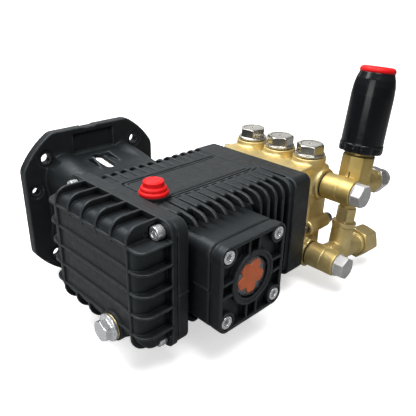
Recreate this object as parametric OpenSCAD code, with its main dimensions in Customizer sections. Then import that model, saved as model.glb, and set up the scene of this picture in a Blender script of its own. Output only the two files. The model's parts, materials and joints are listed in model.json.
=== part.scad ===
// Triplex plunger pump for a pressure washer: gas-engine flange, hollow crankshaft,
// three plungers, brass manifold and a side-mounted unloader valve.
// Frame: origin on the crankshaft axis at the engine flange's mating face,
// +Y towards the engine, +X along the plungers towards the manifold, +Z up.

/* [Engine flange] */
// Bolt circle of the engine face
bolt_pcd = 165.1; // [150:0.1:180]
// Engine bolt hole diameter
bolt_d = 10.5; // [9:0.1:12]
// Half-width over the flange flats
flange_half = 85.5; // [84:0.5:90]
// Flange plate thickness
flange_t = 11; // [9:0.5:14]
// Pilot recess diameter
pilot_d = 146.1; // [140:0.1:150]

/* [Drive] */
// Hollow shaft bore diameter
shaft_bore = 25.4; // [22:0.1:26]
// Hollow shaft outer diameter
shaft_d = 40; // [38:0.5:40]
// Crank throw (half the plunger stroke)
throw = 4; // [3:0.5:4]
// Distance between plungers
pitch = 42; // [41:0.5:43]
// Connecting rod length between centres
rod_l = 62; // [60:1:64]

/* [Casing] */
// Half-height of the crankcase
case_h = 57; // [56:0.5:59]
// Number of side fins
fins = 12; // [6:1:12]
// Fin thickness
fin_t = 3.2; // [2:0.2:4]
// Half-height of the cover flange
cover_h = 62; // [61:0.5:64]

/* [Manifold] */
// Plunger diameter
plunger_d = 16; // [14:1:16]
// Valve axis, distance from the crankshaft axis
valve_x = 160.4; // [158:0.2:164]
// Across flats of the valve caps
cap_af = 27; // [24:1:30]

/* [Unloader] */
// Lean of the unloader about the port axis
lean = 8.2; // [0:0.1:9]
// Knob diameter
knob_d = 47; // [42:1:50]
// Knob height
knob_h = 84.5; // [60:0.5:90]

/* [Hidden] */
$fn = 64;

// Plungers and crank
mid_y = -158;                     // middle plunger
plunger_y = [mid_y + pitch, mid_y, mid_y - pitch];
crank_angle = [0, 120, 240];
shaft_r = shaft_d / 2;
plunger_r = plunger_d / 2;
crank_pin_r = 14;
wrist_pin_r = 5;
seal_r = 31;                      // outside of the shaft oil seal
function pin_x(i) = throw * cos(crank_angle[i]);
function pin_z(i) = throw * sin(crank_angle[i]);
function wrist_x(i) = pin_x(i) + sqrt(rod_l * rod_l - pin_z(i) * pin_z(i));
function rod_tilt(i) = asin(pin_z(i) / rod_l);

// Joint planes
wall_y = -80;                     // crankcase wall on the engine side
seam_x = -64;                     // rear cover seam
head_x = 123;                     // manifold seam
end_y = -247;                     // bearing cover joint

// Places on the casing; each pair holds the two coordinates across the axis
drain_at = [-187, -40.5];         // y, z
vent_at = [-33, -164];            // x, y
function grid(us, vs) = [for (u = us) for (v = vs) [u, v]];
rear_screws = grid([-219, -93], [-54, 54]);     // y, z
flange_screws = grid([-36, 36], [-36, 36]);     // x, z
end_screws = grid([-32.5, 32.5], [-33, 33]);    // x, z, bearing cover

// Manifold bolts: x of the head seat, y, z
mid_bolts = [for (i = [0, 1]) for (seat = [[181, 44], [176, -34]])
  [seat[0], plunger_y[i] - pitch / 2, seat[1]]];
end_bolts = [[184, -215, -20], [184, -101, -20]];
head_bolts = concat(mid_bolts, end_bolts);

// Manifold ports (x, z) and valve levels
outlet_port = [165, 32];
inlet_port = [150, -50];
plug_port = [134.5, 44];
port_r = 7;
discharge_seat_z = 22;            // top of the seat
suction_seat_z = -26;             // top of the seat
poppet_h = 4;
boss_top = 62;                    // top of the valve bosses
cap_z = boss_top + 1;             // underside of the valve cap flanges

// Screw radii
screw_r = 3.95;
tap_r = 4;
clear_r = 4.3;
head_clear_r = 7.2;

// ---- helpers -------------------------------------------------------------
function arc(center, r, from, to, n) =
  [for (k = [0:n]) let (a = from + (to - from) * k / n) center + r * [cos(a), sin(a)]];
// Rounded rectangle from (x0,y0) to (x1,y1), n segments in each corner
function rounded(x0, y0, x1, y1, r, n = 5) = concat(
  arc([x1 - r, y1 - r], r, 0, 90, n),
  arc([x0 + r, y1 - r], r, 90, 180, n),
  arc([x0 + r, y0 + r], r, 180, 270, n),
  arc([x1 - r, y0 + r], r, 270, 360, n));
// Half outline closed by its mirror image below the first axis
function mirrored(half) =
  concat(half, [for (k = [len(half) - 1:-1:0]) [half[k][0], -half[k][1]]]);
module hexagon(af, turn = 0)
  polygon([for (k = [0:5]) af / 2 / cos(30) * [cos(60 * k + turn), sin(60 * k + turn)]]);
// Flat shape in (y,z), (x,z) or (x,y) extruded along the named axis
module slab_x(x0, x1) translate([x0, 0, 0]) rotate([90, 0, 90]) linear_extrude(x1 - x0) children();
module slab_y(y0, y1) translate([0, y1, 0]) rotate([90, 0, 0]) linear_extrude(y1 - y0) children();
module slab_z(z0, z1) translate([0, 0, z0]) linear_extrude(z1 - z0) children();
// Cylinders along an axis; at = the other two coordinates in x, y, z order
module cyl_x(x0, x1, r, at = [0, 0])
  translate([x0, at[0], at[1]]) rotate([0, 90, 0]) cylinder(h = x1 - x0, r = r);
module cyl_y(y0, y1, r, at = [0, 0])
  translate([at[0], y1, at[1]]) rotate([90, 0, 0]) cylinder(h = y1 - y0, r = r);
module cyl_z(z0, z1, r, at = [0, 0])
  translate([at[0], at[1], z0]) cylinder(h = z1 - z0, r = r);
module ring_x(x0, x1, inner_r, outer_r, at = [0, 0]) difference() {
  cyl_x(x0, x1, outer_r, at);
  cyl_x(x0 - 1, x1 + 1, inner_r, at);
}
module ring_y(y0, y1, inner_r, outer_r, at = [0, 0]) difference() {
  cyl_y(y0, y1, outer_r, at);
  cyl_y(y0 - 1, y1 + 1, inner_r, at);
}
module ring_z(z0, z1, inner_r, outer_r, at = [0, 0]) difference() {
  cyl_z(z0, z1, outer_r, at);
  cyl_z(z0 - 1, z1 + 1, inner_r, at);
}
module box(a, b) translate(a) cube(b - a);
// Socket head screw: head from the origin towards +X, shank towards -X
module screw_x(length, head_r = 6.5, head_l = 8) difference() {
  union() {
    cyl_x(0, head_l, head_r);
    cyl_x(-length, 0.5, screw_r);
  }
  slab_x(head_l - 4, head_l + 1) hexagon(6 * head_r / 6.5);
}
// Coil spring standing on z0..z1; steps per turn, sides of the wire section
module coil(coil_r, wire_r, z0, z1, turns, steps = 12, sides = 6) {
  n = turns * steps;
  rise = z1 - z0 - 2 * wire_r;
  points = [for (k = [0:n]) for (j = [0:sides - 1])
    let (a = 360 * k / steps, b = 360 * j / sides, r = coil_r + wire_r * cos(b))
    [r * cos(a), r * sin(a), z0 + wire_r + rise * k / n + wire_r * sin(b)]];
  skin = [for (k = [0:n - 1]) for (j = [0:sides - 1])
    let (a = k * sides + j, b = k * sides + (j + 1) % sides) [a, a + sides, b + sides, b]];
  start = [for (j = [0:sides - 1]) j];
  end = [for (j = [0:sides - 1]) n * sides + sides - 1 - j];
  polyhedron(points = points, faces = concat(skin, [start, end]), convexity = 6);
}

// ---- casing --------------------------------------------------------------
fin_x = -34;                      // first fin
fin_pitch = 11.8;
boss_half = 42;                   // half-width of the bearing boss
// Upper half of the casing section: y, z
core_half = [
  [-84, 36], [-88, 50], [-91, 54], [-94, case_h - 1.4], [-113, case_h - 1.4],
  [-114, case_h], [-178, case_h], [-179, case_h - 1.4], [-196, case_h - 1.4],
  [-200, 53.5], [-203, 47], [-213, 40], [-219, 33]];
// Upper half of a cooling fin: y, z
fin_half = [
  [-78.5, 42], [-79.5, 48], [-82, 52.5], [-86, 55.8], [-91, case_h], [-199, case_h],
  [-221, 54.6], [-224.6, 52.6], [-226, 49.2], [-226, 47.5]];
// Added to a fin whose foot stops above the bearing boss: y, z
fin_foot = [[-212, 46.5], [-208, 40]];
// Upper half of the crank chamber section: y, z
chamber_half = [[-101, 36], [-105, 39], [-192, 39], [-212, 36], [-214, 33]];

// Outline of the bearing boss and its cover, drawn in by inset
module boss_outline(inset = 0) polygon(rounded(
  -boss_half + inset, -44 + inset, boss_half - inset, 42 - inset, 10 - inset));
// Outline of the rear cover joint: lower y and upper y, half-height
module rear_outline(y0, y1, half_h) polygon(rounded(y0, -half_h, y1, half_h, 12));

module crankcase() color([0.13, 0.13, 0.14]) difference() {
  union() {
    slab_x(seam_x, 99) polygon(mirrored(core_half));
    for (k = [0:fins - 1]) {
      x = fin_x + fin_pitch * k;
      half = x < boss_half ? concat(fin_half, fin_foot) : fin_half;
      slab_x(x - fin_t / 2, x + fin_t / 2) polygon(mirrored(half));
    }
    slab_x(97, head_x) polygon(rounded(-230, -case_h, -81, case_h, 9));
    slab_x(seam_x, -52) rear_outline(-232.5, -79, cover_h - 2);
    slab_y(end_y + 1, -196) boss_outline();
    slab_y(end_y, end_y + 2) boss_outline(0.9);
    slab_y(-100, wall_y) polygon(rounded(-50, -50, 50, 50, 12));
  }
  // crank chamber, open to the rear cover
  slab_x(seam_x - 1, 40) polygon(mirrored(chamber_half));
  // raised panel outline on top
  difference() {
    slab_z(case_h - 0.8, case_h + 1) polygon(rounded(-39, -177, 92, -119, 3));
    slab_z(case_h - 2, case_h + 2) polygon(rounded(-37.6, -175.6, 90.6, -120.4, 2));
  }
  // main bearing seats
  cyl_y(-98, wall_y + 1, 40.02);
  cyl_y(-102, -97, 33);
  cyl_y(-251, -219, 31.02);
  cyl_y(-220, -203, 26);
  // crosshead guides, oil seal seats and plunger bays
  for (y = plunger_y) {
    cyl_x(39, 86, 15, [y, 0]);
    cyl_x(85, 92, 7.6, [y, 0]);
    cyl_x(91, 99, 12.02, [y, 0]);
    cyl_x(98, head_x + 1, 17, [y, 0]);
  }
  // screw holes
  for (b = head_bolts) cyl_x(head_x - 20, head_x + 1, tap_r, [b[1], b[2]]);
  for (p = rear_screws) cyl_x(seam_x - 1, seam_x + 10, tap_r, p);
  for (p = flange_screws) cyl_y(-96, wall_y + 1, tap_r, p);
  for (p = end_screws) cyl_y(-251, -234, tap_r, p);
  // filler hole and its spot-face
  cyl_z(40, case_h + 1, 8.2, vent_at);
  cyl_z(case_h, case_h + 4, 16.5, vent_at);
  // flat seat for the engine flange
  slab_y(wall_y, -70) polygon(rounded(-52, -51.5, 52, 51.5, 14));
}

// ---- rear cover ----------------------------------------------------------
cover_face = -70;                 // outer face of the joint flange
rear_top_rib_z = 49.3;
rear_rib_pitch = 20.8;
rear_fin_y = [-214:21.6:-106];
// Rib lying flat: x, y
rib_xy = concat([[-66, -233], [-86, -233]], arc([-89.6, -221], 12, 270, 180, 4),
  [[-101.6, -216], [-101.6, -99]], arc([-87.6, -98], 14, 180, 90, 4), [[-66, -84]]);
// Upright fins above and below the core: x, z
fin_upper = concat([[-66, 30], [-66, cover_h - 0.5], [-84, cover_h - 0.5]],
  arc([-88.4, cover_h - 13.5], 13, 90, 180, 5), [[-101.4, 44], [-98, 30]]);
fin_lower = concat([[-66, -30], [-66, -59.5], [-78, -59.5]],
  arc([-83.4, -41.5], 18, 270, 180, 5), [[-101.4, -40], [-98, -30]]);

// Bulged core, drawn in by inset
module rear_core(inset = 0) {
  x = seam_x - 0.5;
  intersection() {
    slab_z(-60, 60) polygon(concat(
      [[x, -92 - inset], [x, -226 + inset]],
      arc([-91 + inset, -216 + inset], 10, 270, 180, 4),
      arc([-91 + inset, -102 - inset], 10, 180, 90, 4)));
    slab_y(-240, -70) polygon(concat(
      [[x, 55 - inset], [x, -53 + inset]],
      arc([-82 + inset, -35 + inset], 18, 270, 180, 4),
      arc([-91 + inset, 46 - inset], 9, 180, 90, 4)));
  }
}
module rear_cover() color([0.14, 0.14, 0.15]) difference() {
  union() {
    slab_x(cover_face, seam_x - 0.5) rear_outline(-232.5, -79, cover_h);
    rear_core();
    for (k = [0:4]) {
      z = rear_top_rib_z - rear_rib_pitch * k;
      slab_z(z - 1.3, z + 1.3) polygon(rib_xy);
    }
    for (y = rear_fin_y) slab_y(y - 1.5, y + 1.5) {
      polygon(fin_upper);
      polygon(fin_lower);
    }
    cyl_x(-102.6, -93, 14.5, drain_at);
  }
  // hollow of the core, open to the crankcase
  intersection() {
    rear_core(5);
    box([-110, -210, -45], [-60, -102, 45]);
  }
  box([-69, -214, -46], [seam_x, -100, 46]);
  cyl_x(-110, -88, 8, drain_at);
  // corners cleared over the upper screws
  box([-103, -234, 50.6], [cover_face, -215.6, 64]);
  box([-103, -104.4, 50.6], [cover_face, -78, 64]);
  for (p = rear_screws) {
    cyl_x(-79, seam_x, clear_r, p);
    cyl_x(-80, cover_face, head_clear_r, p);
  }
}
module rear_cover_gasket() color([0.3, 0.28, 0.24]) difference() {
  slab_x(seam_x - 0.5, seam_x) rear_outline(-231.5, -80, cover_h - 3);
  slab_x(seam_x - 1, seam_x + 1) polygon(rounded(-206, -46, -99, 46, 4));
  for (p = rear_screws) cyl_x(seam_x - 2, seam_x + 2, 4.5, p);
}
module rear_cover_screws() color([0.8, 0.82, 0.84]) for (p = rear_screws)
  translate([cover_face, p[0], p[1]]) mirror([1, 0, 0]) screw_x(15.5);
module drain_plug() color([0.82, 0.82, 0.8]) translate([0, drain_at[0], drain_at[1]]) {
  cyl_x(-106.6, -104.1, 12.5);
  // hexagon with its outer corners chamfered
  intersection() {
    slab_x(-115, -106) hexagon(19, 12);
    translate([-115.1, 0, 0]) rotate([0, 90, 0]) cylinder(h = 10, r1 = 9.2, r2 = 15);
  }
  cyl_x(-107, -92, 7.9);
}
module drain_plug_washer() color([0.78, 0.68, 0.3]) ring_x(-104.1, -102.6, 8.1, 12.8, drain_at);

// ---- vent, seals and bearing cover ---------------------------------------
// Vent cap profile: radius, height above the casing
vent_profile = [[0, 3], [14.2, 3], [14.2, 6], [11.8, 8], [11.2, 10], [9.8, 11],
  [9.5, 14.8], [8.6, 15.6], [0, 15.6]];
module vent_cap() color([0.85, 0.06, 0.06]) translate([vent_at[0], vent_at[1], case_h]) {
  rotate_extrude() polygon(vent_profile);
  cyl_z(45 - case_h, 4, 8);
}
module static_seals() color([0.05, 0.05, 0.05]) {
  ring_z(case_h + 0.02, case_h + 2.98, 8.6, 15.4, vent_at);
  ring_y(-245.6, -243.8, 29.02, 30.98);
  at_valves() ring_z(boss_top + 0.02, cap_z - 0.02, 12.05, 15.5);
  for (port = [outlet_port, inlet_port]) ring_y(-223.5, -222.1, 8, 14.4, port);
}
end_face = -261;                  // outer face of the bearing cover
end_seat = -253;                  // seat of its screw heads
lens_r = 20.5;                    // sight glass opening
module bearing_cover() color([0.13, 0.13, 0.14]) difference() {
  union() {
    slab_y(end_face, end_y - 1) boss_outline();
    slab_y(end_y - 2, end_y) boss_outline(0.9);
    cyl_y(-250, -242, 30.9);
  }
  // recess around the lens rim, screw bosses and paired ribs
  difference() {
    slab_y(end_face - 1, -256) polygon(rounded(-38.5, -40.5, 38.5, 38.5, 7));
    cyl_y(-263, -255, 27);
    for (p = end_screws) cyl_y(-263, -255, 9.6, p);
    for (a = [0:90:270]) rotate([0, a, 0])
      for (x = [-6.5, 6.5]) box([x - 1.2, end_face, 20], [x + 1.2, -255, 43]);
  }
  cyl_y(-262, -254, lens_r);
  cyl_y(-255, -241, 14);
  ring_groove();
  for (p = end_screws) {
    cyl_y(-262, end_seat, head_clear_r, p);
    cyl_y(-254, -246, clear_r, p);
  }
}
// Seal groove around the spigot of the bearing cover
module ring_groove() difference() {
  cyl_y(-245.8, -243.6, 32);
  cyl_y(-245.8, -243.6, 29);
}
module bearing_cover_screws() color([0.8, 0.82, 0.84]) for (p = end_screws)
  translate([p[0], end_seat, p[1]]) rotate([0, 0, -90]) screw_x(17);
// Lens profile: radius, height towards -Y
lens_profile = [[0, 0], [20.4, 0], [20.4, 2.6], [18.5, 3.6], [12, 4.6], [0, 5]];
module sight_lens() color([0.8, 0.82, 0.85, 0.5])
  translate([0, -256.5, 0]) rotate([90, 0, 0]) rotate_extrude() polygon(lens_profile);
module sight_reflector() color([0.85, 0.3, 0.08]) difference() {
  cyl_y(-256.4, -254.1, lens_r - 0.2);
  for (k = [0:4]) rotate([0, 72 * k + 20, 0]) cyl_y(-260, -255.3, 4, [0, 15.5]);
}

// ---- engine side ---------------------------------------------------------
module engine_flange() color([0.13, 0.13, 0.14]) difference() {
  union() {
    // plate with flats, its corners cut to a circle
    intersection() {
      box([-flange_half, -flange_t, -flange_half], [flange_half, 0, flange_half]);
      cyl_y(-flange_t, 0, 98.7);
    }
    // neck tapering towards the crankcase
    hull() {
      slab_y(-flange_t - 1, -flange_t + 1) polygon(rounded(-61, -58, 61, 58, 22, 4));
      slab_y(-79.9, -78) polygon(rounded(-50, -49, 50, 49, 14, 4));
    }
    slab_y(wall_y, -71) polygon(rounded(-50, -50, 50, 50, 12));
  }
  // inside of the neck
  hull() {
    slab_y(-flange_t - 1, 1) polygon(rounded(-55, -52, 55, 52, 18, 4));
    slab_y(-70, -68) polygon(rounded(-46, -45, 46, 45, 11, 4));
  }
  cyl_y(-5, 1, pilot_d / 2);
  cyl_y(-79, -60, seal_r + 0.02);
  cyl_y(-81, -78, 27);
  // engine bolt holes and their spot-faces
  for (a = [45:90:315]) rotate([0, a, 0]) {
    cyl_y(-20, 1, bolt_d / 2, [bolt_pcd / 2, 0]);
    cyl_y(-20, -flange_t + 0.6, 9.8, [bolt_pcd / 2, 0]);
  }
  // two smaller holes near the side edges
  for (p = [[-74, 24], [74, -24]]) {
    cyl_y(-20, 1, 4.1, p);
    cyl_y(-20, -flange_t + 0.6, 8, p);
  }
  for (p = flange_screws) cyl_y(-90, -60, clear_r, p);
  // access windows above and below the shaft
  slab_z(-90, 90) polygon(rounded(-11, -59, 1, -20, 5.9));
  // shallow pocket in the pump side of the plate, and a notch in its top edge
  box([-22, -12, 59], [27, -8.2, 77.5]);
  box([-10, -20, flange_half - 1], [5, 1, flange_half + 2]);
}
module engine_flange_screws() color([0.78, 0.8, 0.82]) for (p = flange_screws)
  translate([p[0], -70, p[1]]) rotate([0, 0, 90]) screw_x(25, head_r = 6, head_l = 7);
module crankshaft() color([0.62, 0.63, 0.65]) difference() {
  union() {
    cyl_y(-98.02, -8, shaft_r - 0.01);
    cyl_y(-104, -98, 23);
    for (i = [0:2])
      cyl_y(plunger_y[i] - 12.5, plunger_y[i] + 12.5, crank_pin_r, [pin_x(i), pin_z(i)]);
    // webs between the pins
    for (i = [0:1]) cyl_y(plunger_y[i + 1] + 12, plunger_y[i] - 12, 22);
    cyl_y(-217, -212, 21);
    cyl_y(-241, -216.5, 14.99);
  }
  cyl_y(-79, 1, shaft_bore / 2);
  // keyway
  box([-3.18, -77, shaft_bore / 2 - 2], [3.18, 1, shaft_bore / 2 + 2.8]);
}
module oil_seals() color([0.35, 0.16, 0.08]) {
  ring_y(-78.95, -71.5, shaft_r + 0.04, seal_r);
  for (y = plunger_y) ring_x(91.2, 97.9, 7.05, 12, [y, 0]);
}
// Main bearings: y0, y1, then radii of the bore, inner race, outer race and outside,
// ball centre y, ball radius
bearings = [
  [-98, -80.05, shaft_r, 23.9, 36.1, 40, -89, 5.95],
  [-235, -219.05, 15, 18.15, 27.85, 31, -227, 4.75]];
module bearing_outer_rings() color([0.7, 0.71, 0.73])
  for (b = bearings) ring_y(b[0], b[1], b[4], b[5]);
module bearing_inner_rings() color([0.74, 0.75, 0.77])
  for (b = bearings) ring_y(b[0], b[1], b[2], b[3]);
module bearing_balls() color([0.85, 0.86, 0.88]) for (b = bearings) for (k = [0:8])
  rotate([0, 40 * k, 0]) translate([(b[3] + b[4]) / 2, b[6], 0]) sphere(b[7], $fn = 40);

// ---- running gear --------------------------------------------------------
module at_pin(i)
  translate([pin_x(i), plunger_y[i], pin_z(i)]) rotate([0, rod_tilt(i), 0]) children();
module at_wrist(i) translate([wrist_x(i), plunger_y[i], 0]) children();
module big_end() ring_y(-11, 11, 24, 29.5);
module connecting_rod(i) color([0.7, 0.71, 0.73]) at_pin(i) difference() {
  union() {
    intersection() {
      big_end();
      box([0, -12, -40], [40, 12, 40]);
    }
    box([26, -5, -6.5], [55, 5, 6.5]);
    cyl_y(-6, 6, 8.5, [rod_l, 0]);
  }
  cyl_y(-7, 7, wrist_pin_r + 0.03, [rod_l, 0]);
}
module rod_cap(i) color([0.66, 0.67, 0.69]) at_pin(i) intersection() {
  big_end();
  box([-40, -12, -40], [-0.05, 12, 40]);
}
module wrist_pin(i) color([0.8, 0.8, 0.82]) at_wrist(i) cyl_y(-13.5, 13.5, wrist_pin_r);
module crosshead(i) color([0.72, 0.73, 0.75]) at_wrist(i) difference() {
  union() {
    cyl_x(-13, 14, 14.95);
    cyl_x(13, 42, 7);
    cyl_x(41, 66, 4);
  }
  cyl_x(-14, 10, 11);
  cyl_y(-16, 16, wrist_pin_r);
}
module plunger(i) color([0.93, 0.92, 0.88]) at_wrist(i) difference() {
  cyl_x(42.05, 88, plunger_r);
  cyl_x(41, 66.2, 4.02);
}
module seal_retainers() color([0.8, 0.65, 0.3]) for (y = plunger_y) difference() {
  union() {
    cyl_x(111, head_x - 0.05, 16.8, [y, 0]);
    cyl_x(head_x - 0.1, 129.5, 13.95, [y, 0]);
  }
  cyl_x(110, 130, plunger_r + 0.3, [y, 0]);
  cyl_x(110, 117.5, 12.5, [y, 0]);
}
module plunger_packings() color([0.12, 0.12, 0.13]) for (y = plunger_y) {
  ring_x(112, 117.4, plunger_r + 0.05, 12.45, [y, 0]);
  ring_x(129.6, 136.9, plunger_r + 0.05, 13.95, [y, 0]);
}

// ---- manifold ------------------------------------------------------------
// Manifold section: x, z
manifold_xz = [
  [head_x, -59], [127, -63], [168, -63], [176, -56], [176, -26], [181, -19], [181, 48],
  [178, 51], [150, 51], [146, 55], [144, 56], [head_x, 56]];
module at_valves() for (y = plunger_y) translate([valve_x, y, 0]) children();
module manifold() color([0.8, 0.66, 0.3]) difference() {
  union() {
    slab_y(-215.5, -100.5) polygon(manifold_xz);
    at_valves() cyl_z(30, boss_top, 18.6);
    for (b = end_bolts) cyl_x(head_x, b[0], 8.5, [b[1], b[2]]);
    cyl_y(-222, -200, 18, outlet_port);
    cyl_y(-222, -200, 17.5, inlet_port);
    cyl_y(-104, -98, 11.5, plug_port);
  }
  // plunger chambers
  for (y = plunger_y) {
    cyl_x(head_x - 1, 137, 14, [y, 0]);
    cyl_x(136, valve_x, plunger_r + 0.4, [y, 0]);
  }
  // stepped valve bores
  at_valves() {
    cyl_z(-56, -31, 8);
    cyl_z(-32, 30, 9.5);
    cyl_z(16, 63, 12.02);
  }
  // galleries with their wider mouths
  for (port = [outlet_port, inlet_port]) {
    cyl_y(-225, -108, port_r, port);
    cyl_y(-226, -200, port_r + 0.5, port);
  }
  cyl_y(-116, -90, 6, plug_port);
  for (b = head_bolts) cyl_x(head_x - 1, 186, clear_r, [b[1], b[2]]);
}
module manifold_bolts() color([0.45, 0.46, 0.48])
  for (b = head_bolts) translate(b) screw_x(b[0] - 104);
module gallery_plugs() color([0.8, 0.8, 0.82]) {
  cyl_y(-112, -97, 5.95, plug_port);
  cyl_y(-98, -95.5, 11, plug_port);
  translate([plug_port[0], 0, plug_port[1]]) slab_y(-96, -84) hexagon(19);
}
module discharge_valve_caps() color([0.72, 0.72, 0.7]) at_valves() difference() {
  union() {
    cyl_z(cap_z, 65.5, 17);
    // hexagon with its top corners chamfered
    intersection() {
      slab_z(65.4, 76) hexagon(cap_af, 10);
      translate([0, 0, 65]) cylinder(h = 11.2, r1 = 22, r2 = 13);
    }
    cyl_z(46, 64, 11.95);
  }
  cyl_z(45, 54, 7.5);
  translate([0, 0, 74.8]) cylinder(h = 2, r1 = 5, r2 = 6);
}
module valve_seats() color([0.75, 0.76, 0.78]) at_valves() {
  ring_z(16.05, discharge_seat_z, 6, 12);
  ring_z(-32, suction_seat_z, 5.5, 9.45);
}
module suction_valve_cages() color([0.2, 0.2, 0.22]) at_valves() difference() {
  union() {
    ring_z(-25.9, -11, 8.3, 9.45);
    ring_z(-12.5, -10, 3.5, 9.45);
  }
  // crossed side windows
  for (a = [0, 90]) rotate([0, 0, a]) box([-12, -2, -23], [12, 2, -16]);
}
module valve_springs() color([0.7, 0.71, 0.73]) at_valves() {
  coil(5.5, 0.6, discharge_seat_z + poppet_h + 0.1, 53.9, turns = 5);
  coil(4.6, 0.5, suction_seat_z + poppet_h + 0.1, -12.6, turns = 3);
}
// Poppet disc standing just clear of its seat, with a short stem on top
module poppet(i, seat_z, r) color([0.75, 0.76, 0.78])
  translate([valve_x, plunger_y[i], seat_z + 0.05]) {
    cyl_z(0, poppet_h, r);
    cyl_z(poppet_h - 0.5, poppet_h + 2, 3);
  }
module discharge_poppet(i) poppet(i, discharge_seat_z, 8.5);
module suction_poppet(i) poppet(i, suction_seat_z, 7.5);
// Banjo bolt: shank end y, turn of the hexagon
module banjo_bolt(port, shank_y, turn) {
  cyl_y(-262, shank_y, port_r - 0.1, port);
  translate([port[0], 0, port[1]]) slab_y(-272, -260.6) hexagon(23, turn);
  cyl_y(-260.7, -259.6, 13, port);
}
module banjo_bolts() color([0.6, 0.61, 0.63]) {
  banjo_bolt(outlet_port, -212.5, 20);
  banjo_bolt(inlet_port, -209, 5);
}

// ---- unloader ------------------------------------------------------------
// The unloader's own frame: z up its leaning axis, x along its side arms
unloader_at = [188.9, -241.6, 23.07];
outlet_z = 8;                     // outlet arm
inlet_z = -72;                    // inlet arm
knob_z = 47;                      // foot of the knob
knob_r = knob_d / 2;
// Knob profile: radius, height above the foot
knob_profile = [
  [0, 0], [knob_r, 0], [knob_r, 9], [knob_r - 0.8, 11], [knob_r - 1.6, knob_h - 14],
  [knob_r - 2.4, knob_h - 7], [knob_r - 4.6, knob_h - 1.5], [knob_r - 5.4, knob_h],
  [0, knob_h]];
// Knob cap profile: radius, height above the knob
knob_cap_profile = [[0, -2.9], [15.5, -2.9], [15.5, 0.05], [18.2, 0.05], [18.4, 2.2],
  [17.2, 4.2], [14, 5.2], [0, 5.6]];
module on_unloader(z = 0)
  translate(unloader_at) rotate([0, lean, 0]) translate([0, 0, z]) children();
// Banjo eye on a port, and the cuts for its bolt and bolt head
module banjo_eye(port) cyl_y(-259.5, -223.6, 14.8, port);
module banjo_cuts(port) {
  cyl_y(-262, -220, 7.6, port);
  cyl_y(-290, -259.5, 14.6, port);
}
module unloader_body() color([0.78, 0.64, 0.3]) difference() {
  union() {
    banjo_eye(outlet_port);
    on_unloader() {
      cyl_z(-9, 31, 16);
      cyl_z(10, 43, 18.2, $fn = 8);
      cyl_z(42, 63, 13.5);
      cyl_z(-32, -8, 9);
    }
    on_unloader(outlet_z) {
      cyl_x(-24, 0, 11);
      cyl_x(0, 45, 13.5);
    }
  }
  banjo_cuts(outlet_port);
  on_unloader() {
    cyl_z(12, 65, 10.05);
    cyl_z(-41, 13, 4.5);
  }
  on_unloader(outlet_z) {
    cyl_x(25, 60, 8.05);
    cyl_x(-24, 60, 5);
  }
}
module bypass_tube() color([0.72, 0.56, 0.24]) on_unloader() difference() {
  union() {
    cyl_z(-36, -18.5, 10.9, $fn = 6);
    cyl_z(-41.5, -35.5, 13.6);
    cyl_z(-62, -37, 7);
  }
  cyl_z(-63, -31, 4.5);
  cyl_z(-32.5, -12.5, 9.05);
}
// Outside of the inlet arm: x0, x1, radius
inlet_arm = [[-27, 0, 12], [0, 33, 13], [30, 44, 11], [34.5, 38, 15.5], [44, 47.5, 14]];
module inlet_tee() color([0.76, 0.61, 0.28]) difference() {
  union() {
    banjo_eye(inlet_port);
    on_unloader() cyl_z(-66, -41.6, 12.6);
    on_unloader(inlet_z) {
      cyl_z(-14, 14, 14);
      for (s = inlet_arm) cyl_x(s[0], s[1], s[2]);
    }
  }
  banjo_cuts(inlet_port);
  on_unloader() cyl_z(-63, -33, 7.05);
  on_unloader(inlet_z) {
    cyl_x(-26, 80, 8);
    cyl_z(0, 30, 5);
  }
}
module inlet_nut() color([0.74, 0.58, 0.25]) on_unloader(inlet_z) difference() {
  slab_x(38.2, 65.2) hexagon(33, 12);
  cyl_x(37, 44.2, 11.1);
  cyl_x(43.5, 53, 14.3);
  cyl_x(52, 70, 13.2);
}
module outlet_connector() color([0.7, 0.7, 0.72]) on_unloader(outlet_z) difference() {
  union() {
    slab_x(45.1, 59.1) hexagon(24, 8);
    cyl_x(27, 46, 8);
    cyl_x(58, 72, 11);
  }
  cyl_x(20, 80, 5);
}
module unloader_piston() color([0.75, 0.76, 0.78]) on_unloader() {
  cyl_z(14, 22, 10);
  cyl_z(21, 27, 4);
}
module unloader_spring() color([0.7, 0.71, 0.73])
  on_unloader() coil(7, 1.4, 22.1, 57.9, turns = 6, steps = 16, sides = 8);
module spring_seat() color([0.75, 0.76, 0.78]) on_unloader() {
  cyl_z(58, 62, 10);
  cyl_z(52, 59, 4);
}
module unloader_knob() color([0.04, 0.04, 0.045]) on_unloader(knob_z) difference() {
  rotate_extrude() polygon(knob_profile);
  // socket over the body, leaving a stub in its roof
  difference() {
    cyl_z(-1, 21, 14.6);
    cyl_z(15.1, 25.1, 6);
  }
  cyl_z(knob_h - 3, knob_h + 2, 15.6);
  // scallops around the foot
  for (k = [0:7]) rotate([0, 0, 45 * k]) cyl_z(-1, 8, 6, [knob_r + 5, 0]);
}
module knob_cap() color([0.88, 0.08, 0.12])
  on_unloader(knob_z + knob_h) rotate_extrude() polygon(knob_cap_profile);

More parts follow.
